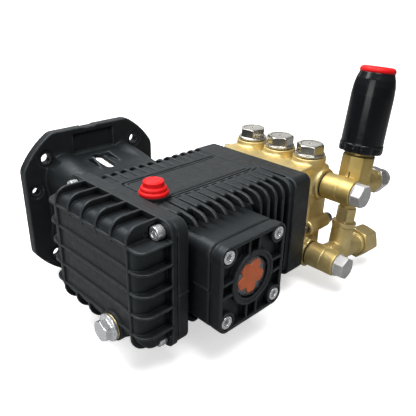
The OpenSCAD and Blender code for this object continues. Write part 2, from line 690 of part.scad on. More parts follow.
crankcase();
rear_cover();
rear_cover_gasket();
rear_cover_screws();
drain_plug();
drain_plug_washer();
vent_cap();
static_seals();
bearing_cover();
bearing_cover_screws();
sight_lens();
sight_reflector();
engine_flange();
engine_flange_screws();
crankshaft();
oil_seals();
bearing_outer_rings();
bearing_inner_rings();
bearing_balls();
connecting_rod(0);  // connecting_rod_1
connecting_rod(1);  // connecting_rod_2
connecting_rod(2);  // connecting_rod_3
rod_cap(0);  // rod_cap_1
rod_cap(1);  // rod_cap_2
rod_cap(2);  // rod_cap_3
wrist_pin(0);  // wrist_pin_1
wrist_pin(1);  // wrist_pin_2
wrist_pin(2);  // wrist_pin_3
crosshead(0);  // crosshead_1
crosshead(1);  // crosshead_2
crosshead(2);  // crosshead_3
plunger(0);  // plunger_1
plunger(1);  // plunger_2
plunger(2);  // plunger_3
seal_retainers();
plunger_packings();
manifold();
manifold_bolts();
gallery_plugs();
discharge_valve_caps();
valve_seats();
suction_valve_cages();
valve_springs();
discharge_poppet(0);  // discharge_poppet_1
discharge_poppet(1);  // discharge_poppet_2
discharge_poppet(2);  // discharge_poppet_3
suction_poppet(0);  // suction_poppet_1
suction_poppet(1);  // suction_poppet_2
suction_poppet(2);  // suction_poppet_3
banjo_bolts();
unloader_body();
unloader_knob();
knob_cap();
spring_seat();
unloader_spring();
unloader_piston();
inlet_tee();
inlet_nut();
outlet_connector();
bypass_tube();
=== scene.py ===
import bpy, bmesh, math, json, time
import numpy as np
from mathutils import Vector, Matrix


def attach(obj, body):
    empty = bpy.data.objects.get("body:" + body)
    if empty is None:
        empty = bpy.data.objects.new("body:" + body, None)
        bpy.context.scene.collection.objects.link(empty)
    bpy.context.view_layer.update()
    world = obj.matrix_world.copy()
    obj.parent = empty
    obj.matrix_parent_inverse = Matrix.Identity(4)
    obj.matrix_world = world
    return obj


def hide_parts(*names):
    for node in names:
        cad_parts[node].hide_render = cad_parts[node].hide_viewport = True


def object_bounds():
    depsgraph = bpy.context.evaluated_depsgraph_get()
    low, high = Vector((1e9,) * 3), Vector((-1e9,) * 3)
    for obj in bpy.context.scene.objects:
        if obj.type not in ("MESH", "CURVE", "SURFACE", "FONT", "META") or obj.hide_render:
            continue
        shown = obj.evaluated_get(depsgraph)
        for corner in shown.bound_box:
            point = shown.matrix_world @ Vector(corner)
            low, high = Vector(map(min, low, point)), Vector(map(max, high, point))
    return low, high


T0 = time.time()
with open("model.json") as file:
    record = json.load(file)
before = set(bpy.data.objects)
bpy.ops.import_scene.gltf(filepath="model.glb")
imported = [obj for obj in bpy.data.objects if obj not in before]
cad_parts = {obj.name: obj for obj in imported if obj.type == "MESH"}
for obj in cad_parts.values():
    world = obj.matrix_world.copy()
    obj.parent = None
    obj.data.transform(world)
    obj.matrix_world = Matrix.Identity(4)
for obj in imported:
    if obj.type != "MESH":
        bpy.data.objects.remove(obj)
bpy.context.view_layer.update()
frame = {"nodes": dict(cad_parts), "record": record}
MM = 0.001
F32 = np.float32

# ---------------------------------------------------------------- distance fields
# Castings are built as distance fields on a grid, in millimetres, and turned into meshes.
# Every primitive is a function of broadcast coordinate arrays.


def _len2(a, b):
    return np.sqrt(a * a + b * b)


def box2(u, v, u0, u1, v0, v1, r=0.0):
    qu = np.abs(u - (u0 + u1) / 2) - ((u1 - u0) / 2 - r)
    qv = np.abs(v - (v0 + v1) / 2) - ((v1 - v0) / 2 - r)
    return _len2(np.maximum(qu, 0), np.maximum(qv, 0)) + np.minimum(np.maximum(qu, qv), 0) - r


def extr(d2, w, w0, w1, rnd=0.0):
    """Solid from a plane distance d2 and an interval on w, its edges rounded by rnd."""
    dw = np.abs(w - (w0 + w1) / 2) - ((w1 - w0) / 2 - rnd)
    d2 = d2 + rnd
    return _len2(np.maximum(d2, 0), np.maximum(dw, 0)) + np.minimum(np.maximum(d2, dw), 0) - rnd


def box3(P, lo, hi, r=0.0):
    X, Y, Z = P
    q = [np.abs(c - (a + b) / 2) - ((b - a) / 2 - r) for c, a, b in zip((X, Y, Z), lo, hi)]
    out = np.sqrt(np.maximum(q[0], 0) ** 2 + np.maximum(q[1], 0) ** 2 + np.maximum(q[2], 0) ** 2)
    return out + np.minimum(np.maximum(np.maximum(q[0], q[1]), q[2]), 0) - r


def cyl(P, axis, c, r, w0, w1, rnd=0.0):
    """c: centre in the two other axes, in x, y, z order."""
    k = "xyz".index(axis)
    o = [P[i] for i in range(3) if i != k]
    return extr(_len2(o[0] - c[0], o[1] - c[1]) - r, P[k], w0, w1, rnd)


def cone(P, axis, c, r0, r1, w0, w1, rnd=0.0):
    k = "xyz".index(axis)
    o = [P[i] for i in range(3) if i != k]
    t = np.clip((P[k] - w0) / (w1 - w0), 0, 1)
    s = math.cos(math.atan2(abs(r1 - r0), abs(w1 - w0)))
    return extr((_len2(o[0] - c[0], o[1] - c[1]) - (r0 + (r1 - r0) * t)) * s, P[k], w0, w1, rnd)


def poly2(u, v, pts):
    """Signed distance to a polygon in the plane."""
    pts = np.asarray(pts, float)
    a = pts
    b = np.roll(pts, -1, 0)
    d = None
    inside = np.zeros(np.broadcast(u, v).shape, bool)
    for (ax, ay), (bx, by) in zip(a, b):
        ex, ey = bx - ax, by - ay
        wx, wy = u - ax, v - ay
        t = np.clip((wx * ex + wy * ey) / max(ex * ex + ey * ey, 1e-9), 0, 1)
        q = (wx - ex * t) ** 2 + (wy - ey * t) ** 2
        d = q if d is None else np.minimum(d, q)
        if ay != by:
            cross = ((ay > v) != (by > v)) & (u < (bx - ax) * (v - ay) / (by - ay) + ax)
            inside ^= cross
    d = np.sqrt(d)
    return np.where(inside, -d, d)


def ngon2(u, v, n, apothem, a0=0.0):
    """Regular polygon with a side facing a0 degrees."""
    d = None
    for k in range(n):
        a = math.radians(a0 + 360.0 * k / n)
        q = u * math.cos(a) + v * math.sin(a) - apothem
        d = q if d is None else np.maximum(d, q)
    return d


def smin(a, b, k):
    if k <= 0:
        return np.minimum(a, b)
    h = np.clip(0.5 + 0.5 * (b - a) / k, 0, 1)
    return b + (a - b) * h - k * h * (1 - h)


def smax(a, b, k):
    return -smin(-a, -b, k)


class Field:
    def __init__(self, lo, hi, h):
        self.h = float(h)
        self.lo = np.array(lo, float)
        n = np.ceil((np.array(hi, float) - self.lo) / h).astype(int) + 1
        self.ax = [(self.lo[i] + h * np.arange(n[i])).astype(F32) for i in range(3)]
        self.D = np.full(tuple(n), 1e3, F32)

    def window(self, lo, hi, pad):
        sl = []
        for i in range(3):
            a = 0 if lo is None else max(0, int((lo[i] - pad - self.lo[i]) / self.h))
            b = len(self.ax[i]) if hi is None else min(len(self.ax[i]), int((hi[i] + pad - self.lo[i]) / self.h) + 2)
            sl.append(slice(a, max(a, b)))
        P = (self.ax[0][sl[0]][:, None, None], self.ax[1][sl[1]][None, :, None], self.ax[2][sl[2]][None, None, :])
        return tuple(sl), P

    def add(self, fn, k=0.0, lo=None, hi=None):
        sl, P = self.window(lo, hi, k + 3 * self.h)
        self.D[sl] = smin(self.D[sl], np.asarray(fn(P), F32), k)
        return self

    def sub(self, fn, k=0.0, lo=None, hi=None):
        sl, P = self.window(lo, hi, k + 3 * self.h)
        self.D[sl] = smax(self.D[sl], -np.asarray(fn(P), F32), k)
        return self

    def keep(self, fn, k=0.0):
        sl, P = self.window(None, None, 0)
        self.D[sl] = smax(self.D[sl], np.asarray(fn(P), F32), k)
        return self


CORN = np.array([[i, j, k] for i in (0, 1) for j in (0, 1) for k in (0, 1)])
EDGES = [(a, b) for a in range(8) for b in range(a + 1, 8) if np.abs(CORN[a] - CORN[b]).sum() == 1]


def surface(field):
    """Vertices (mm) and quads of the field's zero level."""
    D = field.D
    D[0], D[-1], D[:, 0], D[:, -1], D[:, :, 0], D[:, :, -1] = 5, 5, 5, 5, 5, 5
    s = D < 0
    cnt = np.zeros(tuple(n - 1 for n in D.shape), np.int8)
    for c in CORN:
        cnt += s[c[0]:D.shape[0] - 1 + c[0], c[1]:D.shape[1] - 1 + c[1], c[2]:D.shape[2] - 1 + c[2]]
    act = (cnt > 0) & (cnt < 8)
    I, J, K = np.nonzero(act)
    idx = np.full(act.shape, -1, np.int32)
    idx[I, J, K] = np.arange(len(I))
    V = np.stack([D[I + c[0], J + c[1], K + c[2]] for c in CORN])
    pos = np.zeros((len(I), 3), F32)
    n = np.zeros(len(I), F32)
    for a, b in EDGES:
        va, vb = V[a], V[b]
        m = (va < 0) != (vb < 0)
        t = np.where(m, va / np.where(m, va - vb, 1), 0)
        p = CORN[a][None, :] + t[:, None] * (CORN[b] - CORN[a])[None, :]
        pos += np.where(m[:, None], p, 0)
        n += m
    pos = pos / n[:, None] + np.stack([I, J, K], 1)
    # two steps onto the level itself
    for _ in range(2):
        b = np.clip(np.floor(pos).astype(int), 0, np.array(D.shape) - 2)
        f = pos - b
        g = np.zeros_like(pos)
        val = np.zeros(len(pos), F32)
        for c in CORN:
            w = [f[:, i] if c[i] else 1 - f[:, i] for i in range(3)]
            d = D[b[:, 0] + c[0], b[:, 1] + c[1], b[:, 2] + c[2]]
            val += w[0] * w[1] * w[2] * d
            g[:, 0] += (1 if c[0] else -1) * w[1] * w[2] * d
            g[:, 1] += (1 if c[1] else -1) * w[0] * w[2] * d
            g[:, 2] += (1 if c[2] else -1) * w[0] * w[1] * d
        gg = np.maximum((g * g).sum(1), 0.15 * field.h ** 2)
        step = -(val / gg)[:, None] * g
        pos = pos + np.clip(step, -0.35, 0.35) * 0.7
    quads = []
    sh = D.shape
    for axis in range(3):
        sl0 = [slice(1, -1)] * 3
        sl1 = [slice(1, -1)] * 3
        sl0[axis] = slice(0, sh[axis] - 1)
        sl1[axis] = slice(1, sh[axis])
        m = s[tuple(sl0)] != s[tuple(sl1)]
        i, j, k = np.nonzero(m)
        off = np.array([1, 1, 1])
        off[axis] = 0
        g = np.stack([i, j, k], 1) + off
        inside0 = s[g[:, 0], g[:, 1], g[:, 2]]
        u, v = [(1, 2), (2, 0), (0, 1)][axis]
        du = np.zeros(3, int); du[u] = -1
        dv = np.zeros(3, int); dv[v] = -1
        c = [g, g + du, g + du + dv, g + dv]
        q = np.stack([idx[p[:, 0], p[:, 1], p[:, 2]] for p in c], 1)
        q = np.where(inside0[:, None], q, q[:, ::-1])
        quads.append(q)
    quads = np.concatenate(quads)
    quads = quads[(quads >= 0).all(1)]
    return pos * field.h + field.lo[None, :], quads


def new_obj(name, me):
    o = bpy.data.objects.new(name, me)
    bpy.context.scene.collection.objects.link(o)
    return o


def mesh_from(name, verts, faces, quads=True):
    me = bpy.data.meshes.new(name)
    n, m = len(verts), len(faces)
    k = faces.shape[1]
    me.vertices.add(n)
    me.vertices.foreach_set("co", (np.asarray(verts, F32)).ravel())
    me.loops.add(m * k)
    me.loops.foreach_set("vertex_index", faces.astype(np.int32).ravel())
    me.polygons.add(m)
    me.polygons.foreach_set("loop_start", np.arange(0, m * k, k, dtype=np.int32))
    me.polygons.foreach_set("loop_total", np.full(m, k, dtype=np.int32))
    me.polygons.foreach_set("use_smooth", np.ones(m, bool))
    me.update(calc_edges=True)
    me.validate()
    return me


def apply_mods(o):
    bpy.context.view_layer.update()
    dg = bpy.context.evaluated_depsgraph_get()
    me = bpy.data.meshes.new_from_object(o.evaluated_get(dg))
    old = o.data
    o.modifiers.clear()
    o.data = me
    bpy.data.meshes.remove(old)


def cast(name, field, tris=None, mat=None, xf=None):
    """Mesh object from a field. tris: thin it to about this many triangles. xf: Matrix in mm."""
    t = time.time()
    v, q = surface(field)
    v = v * MM
    if xf is not None:
        M = np.array(xf)
        v = v @ M[:3, :3].T + M[:3, 3][None, :] * MM
    me = mesh_from(name, v, q)
    o = new_obj(name, me)
    if tris and 2 * len(q) > tris:
        d = o.modifiers.new("thin", "DECIMATE")
        d.ratio = tris / (2.0 * len(q))
        apply_mods(o)
        for p in o.data.polygons:
            p.use_smooth = True
    w = o.modifiers.new("normals", "WEIGHTED_NORMAL")
    w.mode = "FACE_AREA"
    w.weight = 50
    w.keep_sharp = False
    if mat is not None:
        o.data.materials.clear()
        o.data.materials.append(mat)
    print(f"{name}: {len(q)} quads, {len(o.data.polygons)} faces, {time.time()-t:.1f} s")
    return o


# ---------------------------------------------------------------- materials


class Nodes:
    def __init__(self, name):
        self.m = bpy.data.materials.new(name)
        self.m.use_nodes = True
        self.t = self.m.node_tree
        self.t.nodes.clear()
        self.out = self.t.nodes.new("ShaderNodeOutputMaterial")
        self.p = self.t.nodes.new("ShaderNodeBsdfPrincipled")
        self.t.links.new(self.p.outputs[0], self.out.inputs[0])
        self.co = self.t.nodes.new("ShaderNodeTexCoord")

    def n(self, kind, **kw):
        o = self.t.nodes.new("ShaderNode" + kind)
        for k, v in kw.items():
            if k in o.inputs:
                o.inputs[k].default_value = v
            else:
                setattr(o, k, v)
        return o

    def link(self, a, b):
        self.t.links.new(a, b)

    def noise(self, scale, detail=4.0, rough=0.55, vec=None, stretch=None):
        x = self.n("TexNoise")
        x.inputs["Scale"].default_value = scale
        x.inputs["Detail"].default_value = detail
        x.inputs["Roughness"].default_value = rough
        src = vec if vec is not None else self.co.outputs["Object"]
        if stretch:
            mp = self.n("Mapping")
            mp.inputs["Scale"].default_value = stretch
            self.link(src, mp.inputs[0])
            src = mp.outputs[0]
        self.link(src, x.inputs["Vector"])
        return x.outputs["Fac"]

    def ramp(self, fac, stops):
        r = self.n("ValToRGB")
        e = r.color_ramp.elements
        while len(e) < len(stops):
            e.new(0.5)
        for el, (p, c) in zip(e, stops):
            el.position = p
            el.color = (*c, 1) if len(c) == 3 else c
        self.link(fac, r.inputs[0])
        return r.outputs[0]

    def rng(self, fac, a, b, c, d):
        r = self.n("MapRange")
        for i, v in zip((1, 2, 3, 4), (a, b, c, d)):
            r.inputs[i].default_value = v
        self.link(fac, r.inputs[0])
        return r.outputs[0]

    def math(self, op, a, b):
        r = self.n("Math")
        r.operation = op
        for i, v in enumerate((a, b)):
            if isinstance(v, (int, float)):
                r.inputs[i].default_value = v
            else:
                self.link(v, r.inputs[i])
        return r.outputs[0]

    def mix(self, fac, a, b, mode="MIX"):
        r = self.n("Mix")
        r.data_type = "RGBA"
        r.blend_type = mode
        for s, v in ((0, fac), (6, a), (7, b)):
            if isinstance(v, (int, float)):
                r.inputs[s].default_value = v
            elif isinstance(v, tuple):
                r.inputs[s].default_value = (*v, 1) if len(v) == 3 else v
            else:
                self.link(v, r.inputs[s])
        return r.outputs[2]

    def bump(self, h, strength, dist, prev=None):
        b = self.n("Bump")
        b.inputs["Strength"].default_value = strength
        b.inputs["Distance"].default_value = dist
        self.link(h, b.inputs["Height"])
        if prev is not None:
            self.link(prev, b.inputs["Normal"])
        self.link(b.outputs[0], self.p.inputs["Normal"])
        return b.outputs[0]

    def set(self, **kw):
        for k, v in kw.items():
            k = k.replace("_", " ")
            if isinstance(v, (int, float)):
                self.p.inputs[k].default_value = v
            elif isinstance(v, tuple):
                self.p.inputs[k].default_value = v if len(self.p.inputs[k].default_value) == len(v) else (*v, 1)
            else:
                self.link(v, self.p.inputs[k])
        return self

    def edge(self, lo=0.5, hi=0.6):
        g = self.n("NewGeometry")
        return self.rng(g.outputs["Pointiness"], lo, hi, 0.0, 1.0)


MATS = {}


def m_black(name="black_casting", base=0.0125, rough=0.45, grain=1.0):
    k = Nodes(name)
    cloud = k.noise(22, 3)
    fine = k.noise(900, 3, 0.6)
    mid = k.noise(160, 4, 0.6)
    col = k.ramp(cloud, [(0.3, (base * 0.80, base * 0.93, base * 1.02)), (0.7, (base * 1.08, base * 1.22, base * 1.32))])
    # edges lightened by a pointiness mask: part wear, part painted highlight along the fin edges
    e = k.math("MULTIPLY", k.edge(0.515, 0.60), k.rng(mid, 0.35, 0.6, 0.2, 1.0))
    col = k.mix(k.math("MULTIPLY", e, 0.55), col, (0.16, 0.17, 0.178))
    dust = k.math("MULTIPLY", k.rng(k.noise(60, 5, 0.65), 0.52, 0.75, 0, 1), 0.06)
    col = k.mix(dust, col, (0.11, 0.11, 0.105))
    # painted shade: an occlusion mask darkens the colour and dulls the specular in corners between ribs and round
    # bosses
    ao = k.n("AmbientOcclusion", Distance=0.009)
    ao.samples = 8
    open_ = k.rng(ao.outputs["AO"], 0.36, 0.88, 0.0, 1.0)
    col = k.mix(open_, (base * 0.10, base * 0.11, base * 0.12), col)
    k.set(Base_Color=col, Roughness=k.rng(mid, 0.3, 0.7, rough - 0.06, rough + 0.09), Specular_IOR_Level=k.rng(open_, 0.0, 1.0, 0.05, 0.30), Specular_Tint=(0.80, 0.92, 1.0, 1.0))
    b = k.bump(fine, 0.22 * grain, 0.0003)
    k.bump(mid, 0.16 * grain, 0.0006, b)
    return k.m


def m_metal(name, col, col2, rough, bumps=0.1, scale=300, aniso=None, edge=0.25, edgecol=None, tarnish=None, metal=1.0):
    k = Nodes(name)
    cloud = k.noise(45, 4, 0.6)
    fine = k.noise(scale, 4, 0.6)
    c = k.ramp(cloud, [(0.32, col), (0.68, col2)])
    if tarnish:
        c = k.mix(k.math("MULTIPLY", k.rng(k.noise(28, 6, 0.7), 0.5, 0.72, 0, 1), tarnish[0]), c, tarnish[1])
    e = k.math("MULTIPLY", k.edge(0.52, 0.62), edge)
    c = k.mix(e, c, edgecol or tuple(min(1, v * 1.25) for v in col2))
    r = k.rng(fine, 0.3, 0.7, max(0.05, rough - 0.07), rough + 0.09)
    k.set(Base_Color=c, Metallic=metal, Roughness=r)
    h = fine
    if aniso:
        line = k.noise(260, 2, 0.5, stretch=aniso)
        h = k.math("ADD", k.math("MULTIPLY", line, 0.7), k.math("MULTIPLY", fine, 0.3))
    k.bump(h, bumps, 0.0004)
    return k.m


def m_plastic(name, col, rough=0.3, coat=0.0, bumps=0.05, scale=500, sss=0.0, spec=0.5):
    k = Nodes(name)
    cloud = k.noise(35, 3)
    fine = k.noise(scale, 3, 0.6)
    c = k.ramp(cloud, [(0.3, tuple(v * 0.88 for v in col)), (0.7, tuple(min(1, v * 1.1) for v in col))])
    sc = k.rng(k.noise(120, 5, 0.7, stretch=(1, 1, 6)), 0.55, 0.8, 0.0, 0.10)
    k.set(Base_Color=c, Roughness=k.math("ADD", k.rng(fine, 0.3, 0.7, max(0.02, rough - 0.05), rough + 0.05), sc), Specular_IOR_Level=spec)
    if coat:
        k.set(Coat_Weight=coat, Coat_Roughness=0.08)
    if sss:
        k.set(Subsurface_Weight=sss, Subsurface_Radius=(0.004, 0.001, 0.001))
    k.bump(fine, bumps, 0.0003)
    return k.m


def materials():
    M = MATS
    M["black_casting"] = m_black()
    M["gasket_paper"] = m_plastic("gasket_paper", (0.10, 0.085, 0.065), 0.8, bumps=0.3, scale=700)
    M["zinc_screw"] = m_metal("zinc_screw", (0.62, 0.64, 0.65), (0.80, 0.81, 0.82), 0.22, 0.01, 2200, edge=0.0, metal=0.78)
    M["dark_screw"] = m_metal("dark_screw", (0.16, 0.155, 0.15), (0.26, 0.25, 0.24), 0.36, 0.1, 400)
    M["brass_washer"] = m_metal("brass_washer", (0.62, 0.52, 0.26), (0.74, 0.62, 0.32), 0.3, 0.08)
    M["red_plastic"] = m_plastic("red_plastic", (0.78, 0.010, 0.012), 0.42, 0.0, 0.06, 600, 0.10, spec=0.22)
    M["seal_rubber"] = m_plastic("seal_rubber", (0.012, 0.012, 0.013), 0.42, bumps=0.1)
    M["orange_reflector"] = m_plastic("orange_reflector", (0.98, 0.15, 0.006), 0.45, 0.0, 0.7, 260, spec=0.10)
    M["crank_steel"] = m_metal("crank_steel", (0.45, 0.45, 0.46), (0.60, 0.60, 0.61), 0.3, 0.12, 350, aniso=(1, 12, 1))
    M["bearing_steel"] = m_metal("bearing_steel", (0.6, 0.6, 0.61), (0.7, 0.7, 0.71), 0.16, 0.04, 500)
    M["rod_alloy"] = m_metal("rod_alloy", (0.5, 0.51, 0.52), (0.62, 0.63, 0.64), 0.42, 0.25, 260)
    M["pin_steel"] = m_metal("pin_steel", (0.5, 0.5, 0.51), (0.62, 0.62, 0.63), 0.24, 0.06, 400)
    M["white_ceramic"] = m_plastic("white_ceramic", (0.86, 0.84, 0.78), 0.14, 0.3, 0.02, 600)
    M["machined_brass"] = m_metal("machined_brass", (0.58, 0.45, 0.19), (0.74, 0.60, 0.29), 0.38, 0.10, 320, tarnish=(0.35, (0.38, 0.28, 0.11)), metal=0.82)
    M["cast_brass"] = m_metal("cast_brass", (0.62, 0.48, 0.20), (0.78, 0.64, 0.31), 0.46, 0.22, 420, tarnish=(0.35, (0.42, 0.31, 0.13)), metal=0.82)
    # darker copy of cast brass for the unloader body: painted shade
    M["column_brass_painted_shade"] = m_metal("column_brass_painted_shade", (0.50, 0.37, 0.125), (0.64, 0.50, 0.20), 0.46, 0.22, 420, tarnish=(0.35, (0.34, 0.24, 0.08)), metal=0.82)
    M["cap_steel"] = m_metal("cap_steel", (0.42, 0.40, 0.36), (0.58, 0.56, 0.51), 0.19, 0.01, 2000, edge=0.0, edgecol=(0.85, 0.84, 0.8))
    M["valve_steel"] = m_metal("valve_steel", (0.55, 0.55, 0.56), (0.66, 0.66, 0.67), 0.25, 0.06, 400)
    M["cage_plastic"] = m_plastic("cage_plastic", (0.04, 0.04, 0.042), 0.5, bumps=0.2)
    M["grey_alloy"] = m_metal("grey_alloy", (0.50, 0.50, 0.50), (0.62, 0.62, 0.62), 0.50, 0.12, 420, edge=0.1, edgecol=(0.80, 0.80, 0.80), metal=0.40)
    M["outlet_steel"] = m_metal("outlet_steel", (0.56, 0.55, 0.53), (0.70, 0.69, 0.67), 0.22, 0.01, 2000, edge=0.0, metal=0.85)
    M["knob_plastic"] = m_plastic("knob_plastic", (0.005, 0.0057, 0.0072), 0.17, 0.0, 0.002, 350, spec=0.35)
    M["reflector_grey"] = m_plastic("reflector_grey", (0.10, 0.105, 0.115), 0.35, 0.3, 0.1, 400)
    # clear window: a coat of gloss over what lies behind it
    k = Nodes("clear_lens")
    fine = k.noise(300, 3)
    tr = k.n("BsdfTransparent")
    tr.inputs[0].default_value = (0.95, 0.96, 0.97, 1)
    gl = k.n("BsdfGlossy")
    gl.inputs["Color"].default_value = (1, 1, 1, 1)
    k.link(k.rng(fine, 0.3, 0.7, 0.05, 0.14), gl.inputs["Roughness"])
    lw = k.n("LayerWeight")
    lw.inputs["Blend"].default_value = 0.28
    b = k.n("Bump")
    b.inputs["Strength"].default_value = 0.05
    b.inputs["Distance"].default_value = 0.0003
    k.link(k.noise(90, 3), b.inputs["Height"])
    k.link(b.outputs[0], gl.inputs["Normal"])
    k.link(b.outputs[0], lw.inputs["Normal"])
    mx = k.n("MixShader")
    k.link(k.rng(lw.outputs["Fresnel"], 0.0, 1.0, 0.004, 0.07), mx.inputs[0])
    k.link(tr.outputs[0], mx.inputs[1])
    k.link(gl.outputs[0], mx.inputs[2])
    k.link(mx.outputs[0], k.out.inputs[0])
    M["clear_lens"] = k.m


materials()
SLOT = {s["node"]: s["material_slot"] for s in frame["record"]["subparts"]}
for n, o in frame["nodes"].items():
    mat = MATS[SLOT[n]]
    if not o.material_slots:
        o.data.materials.append(mat)
    for s in o.material_slots:
        s.link = "OBJECT"
        s.material = mat

# ---------------------------------------------------------------- casing
YPL = (-116.0, -158.0, -200.0)
COV_SCR = [(-219, 54.6), (-219, -51.5), (-93, 56), (-93, -52)]
FL_SCR = [(36, 36), (-36, 36), (36, -36), (-36, -36)]
HEAD_SCR = [(-137, 44), (-179, 44), (-137, -34), (-179, -34), (-215, -20), (-101, -20)]
HEAD_X = [181, 181, 176, 176, 184, 184]
CORE_HI = [(-84, 36), (-88, 50), (-90.5, 53.6), (-94, 55.3), (-113, 55.3), (-113.4, 57), (-178.4, 57), (-178.8, 55.3), (-192.5, 55.3), (-197.5, 54.0), (-201.5, 51), (-204, 45.5), (-213, 40), (-219, 33)]
CORE = CORE_HI + [(y, -z) for y, z in reversed(CORE_HI)]
CH = [(-101, 36), (-105, 39), (-192, 39), (-212, 36), (-214, 33), (-214, -33), (-212, -36), (-192, -39), (-105, -39), (-101, -36)]
G = 1.0
CASE = 57.0


def fin_outline(y, z, x):
    """Cooling fin: flat top, bevelled nose, its foot cut clear of the bearing boss."""
    a = np.abs(z)
    d = box2(y, a, -226, -78.5, -57, 57, 0.0)
    d = smax(d, ((a - 57) + (-(y + 199)) * 0.11) * 0.994, 1.0)
    # rounded corners: near nose and far end
    qy, qz = (-226 + 13) - y, a - (55.2 - 13)
    nose = np.where((qy > 0) & (qz > 0), _len2(np.maximum(qy, 0), np.maximum(qz, 0)) - 13, -1e3)
    qy, qz = y - (-78.5 - 12), a - (57 - 12)
    far = np.where((qy > 0) & (qz > 0), _len2(np.maximum(qy, 0), np.maximum(qz, 0)) - 12, -1e3)
    d = np.maximum(d, np.maximum(nose, far))
    if x < 46:
        # a pointed foot hangs at the nose
        cut = np.maximum(np.maximum(a - (46.4 + 0.0 * y) - np.clip((y + 226) * 0.10, 0, 2) * 0 - 0.9, -211 * 0 - 250 - y), (y + 210.5))
        d = smax(d, -cut, 0.6)
    return d


def crankcase():
    f = Field((-67, -251, -63), (126, -76, 66), G)
    f.add(lambda P: extr(poly2(P[1], P[2], CORE), P[0], -64, 99, 0.5))
    for k in range(12):
        x = -34 + 11.8 * k
        # each fin is a little thicker at its root
        f.add(lambda P: extr(fin_outline(P[1], P[2], x), P[0], x - 1.8, x + 1.8, 0.55), 0.5, (x - 4, -230, -60), (x + 4, -76, 60))
    f.add(lambda P: extr(box2(P[1], P[2], -230, -81, -57, 57, 9), P[0], 97, 123, 1.0), 1.2, (94, -234, -60), None)
    f.add(lambda P: extr(box2(P[1], P[2], -232.5, -79, -57.5, 63.6, 11), P[0], -64, -52, 0.45), 0.8, None, (-46, -70, 66))
    f.add(lambda P: extr(box2(P[0], P[2], -42, 42, -44, 42, 10), P[1], -246, -196, 0.6), 1.6, (-50, -252, -52), (50, -190, 50))
    f.add(lambda P: extr(box2(P[0], P[2], -41.1, 41.1, -43.1, 41.1, 9.1), P[1], -247, -240, 0.2), 0.0, (-50, -252, -52), (50, -230, 50))
    f.add(lambda P: extr(box2(P[0], P[2], -50, 50, -50, 50, 12), P[1], -100, -80, 0.6), 1.5, (-56, -106, -56), (56, -76, 56))
    # rounded ends of the casting's top between the fins
    for k in range(12):
        x = -34 + 11.8 * k
        f.add(lambda P: box3(P, (x - 7.7, -204.5, 38), (x - 0.8, -179, 56.5), 2.2), 0.4, (x - 11, -209, 36), (x + 2, -175, 60))
        # a slit parts each rounded end from the next fin
        f.sub(lambda P: box3(P, (x + 1.8, -215.0, 50.5), (x + 4.1, -181.0, 64), 0.3), 0.2, (x - 1, -218, 49), (x + 6, -178, 64))
    # lands beside the raised panel: flush top and bottom
    f.sub(lambda P: box3(P, (-51.6, -199, 57.0), (96.5, -96, 64), 0.0), 0.0, (-54, -201, 55), (98, -94, 63))
    # parting line left by the mould along the flange, the boss and the front band
    f.add(lambda P: box3(P, (-64, -233.5, -5.0), (-52.2, -232, -3.4), 0.5), 0.4, (-67, -236, -8), (-48, -228, 0))
    f.add(lambda P: box3(P, (-43.0, -246, -3.0), (-41, -226, -1.4), 0.5), 0.5, (-46, -250, -6), (-38, -222, 2))
    f.add(lambda P: box3(P, (98, -230.6, -0.7), (122.6, -229, 0.5), 0.5), 0.6, (94, -233, -4), (126, -226, 4))
    f.sub(lambda P: extr(poly2(P[1], P[2], CH), P[0], -70, 40, 2.0), 0.0)
    # flat seat for the engine flange
    f.sub(lambda P: extr(box2(P[0], P[2], -52, 52, -51.5, 51.5, 14), P[1], -80, -60), 0.0, (-56, -84, -56), (56, -74, 56))
    # raised panel outline, two fine grooves
    for g0, g1, dep in ((0.0, 2.0, 1.7), (4.0, 5.4, 1.0)):
        f.sub(lambda P: extr(np.maximum(box2(P[0], P[1], -39 + g0, 92 - g0, -177 + g0, -119 - g0, 4), -box2(P[0], P[1], -39 + g1, 92 - g1, -177 + g1, -119 - g1, 3)), P[2], 57 - dep, 64), 0.3,
              (-42, -180, 54), (95, -116, 61))
    f.sub(lambda P: cyl(P, "y", (0, 0), 40.02, -98, -70))
    f.sub(lambda P: cyl(P, "y", (0, 0), 33, -102, -97))
    f.sub(lambda P: cyl(P, "y", (0, 0), 31.02, -260, -219))
    f.sub(lambda P: cyl(P, "y", (0, 0), 26, -221, -203))
    for y in YPL:
        f.sub(lambda P: cyl(P, "x", (y, 0), 15.0, 38, 86))
        f.sub(lambda P: cyl(P, "x", (y, 0), 7.8, 85, 92))
        f.sub(lambda P: cyl(P, "x", (y, 0), 12.1, 91, 99))
        f.sub(lambda P: cyl(P, "x", (y, 0), 17, 98, 130))
    for y, z in HEAD_SCR:
        f.sub(lambda P: cyl(P, "x", (y, z), 4, 103, 130), 0, (100, y - 6, z - 6), (126, y + 6, z + 6))
    for y, z in COV_SCR:
        f.sub(lambda P: cyl(P, "x", (y, z), 4, -70, -54), 0, (-67, y - 6, z - 6), (-50, y + 6, z + 6))
    for x, z in FL_SCR:
        f.sub(lambda P: cyl(P, "y", (x, z), 4, -96, -70), 0, (x - 6, -100, z - 6), (x + 6, -74, z + 6))
    for x in (-32.5, 32.5):
        for z in (-33, 33):
            f.sub(lambda P: cyl(P, "y", (x, z), 4, -260, -234), 0, (x - 6, -254, z - 6), (x + 6, -230, z + 6))
    f.sub(lambda P: cyl(P, "z", (-33, -164), 8.2, 40, 70), 0, (-44, -176, 38), (-22, -152, 63))
    f.sub(lambda P: cyl(P, "z", (-33, -164), 16.5, 57.0, 70, 0.2), 0.3, (-54, -184, 54), (-14, -144, 63))
    return f


def rear_core(P, g):
    a = box2(P[0], P[1], -100.2 + g, -20, -226 + g, -92 - g, 10 - g * 0.3)
    top = box2(P[0], P[2], -100.0 + g, -20, -20, 58.8 - g, 8.5 - g * 0.5)
    low = box2(P[0], P[2], -100.0 + g, -20, -50.8 + g, 20, 17 - g * 0.5)
    b = np.where(P[2] > 0, top, low)
    return np.maximum(smax(a, b, 0.6), P[0] + 64.5)


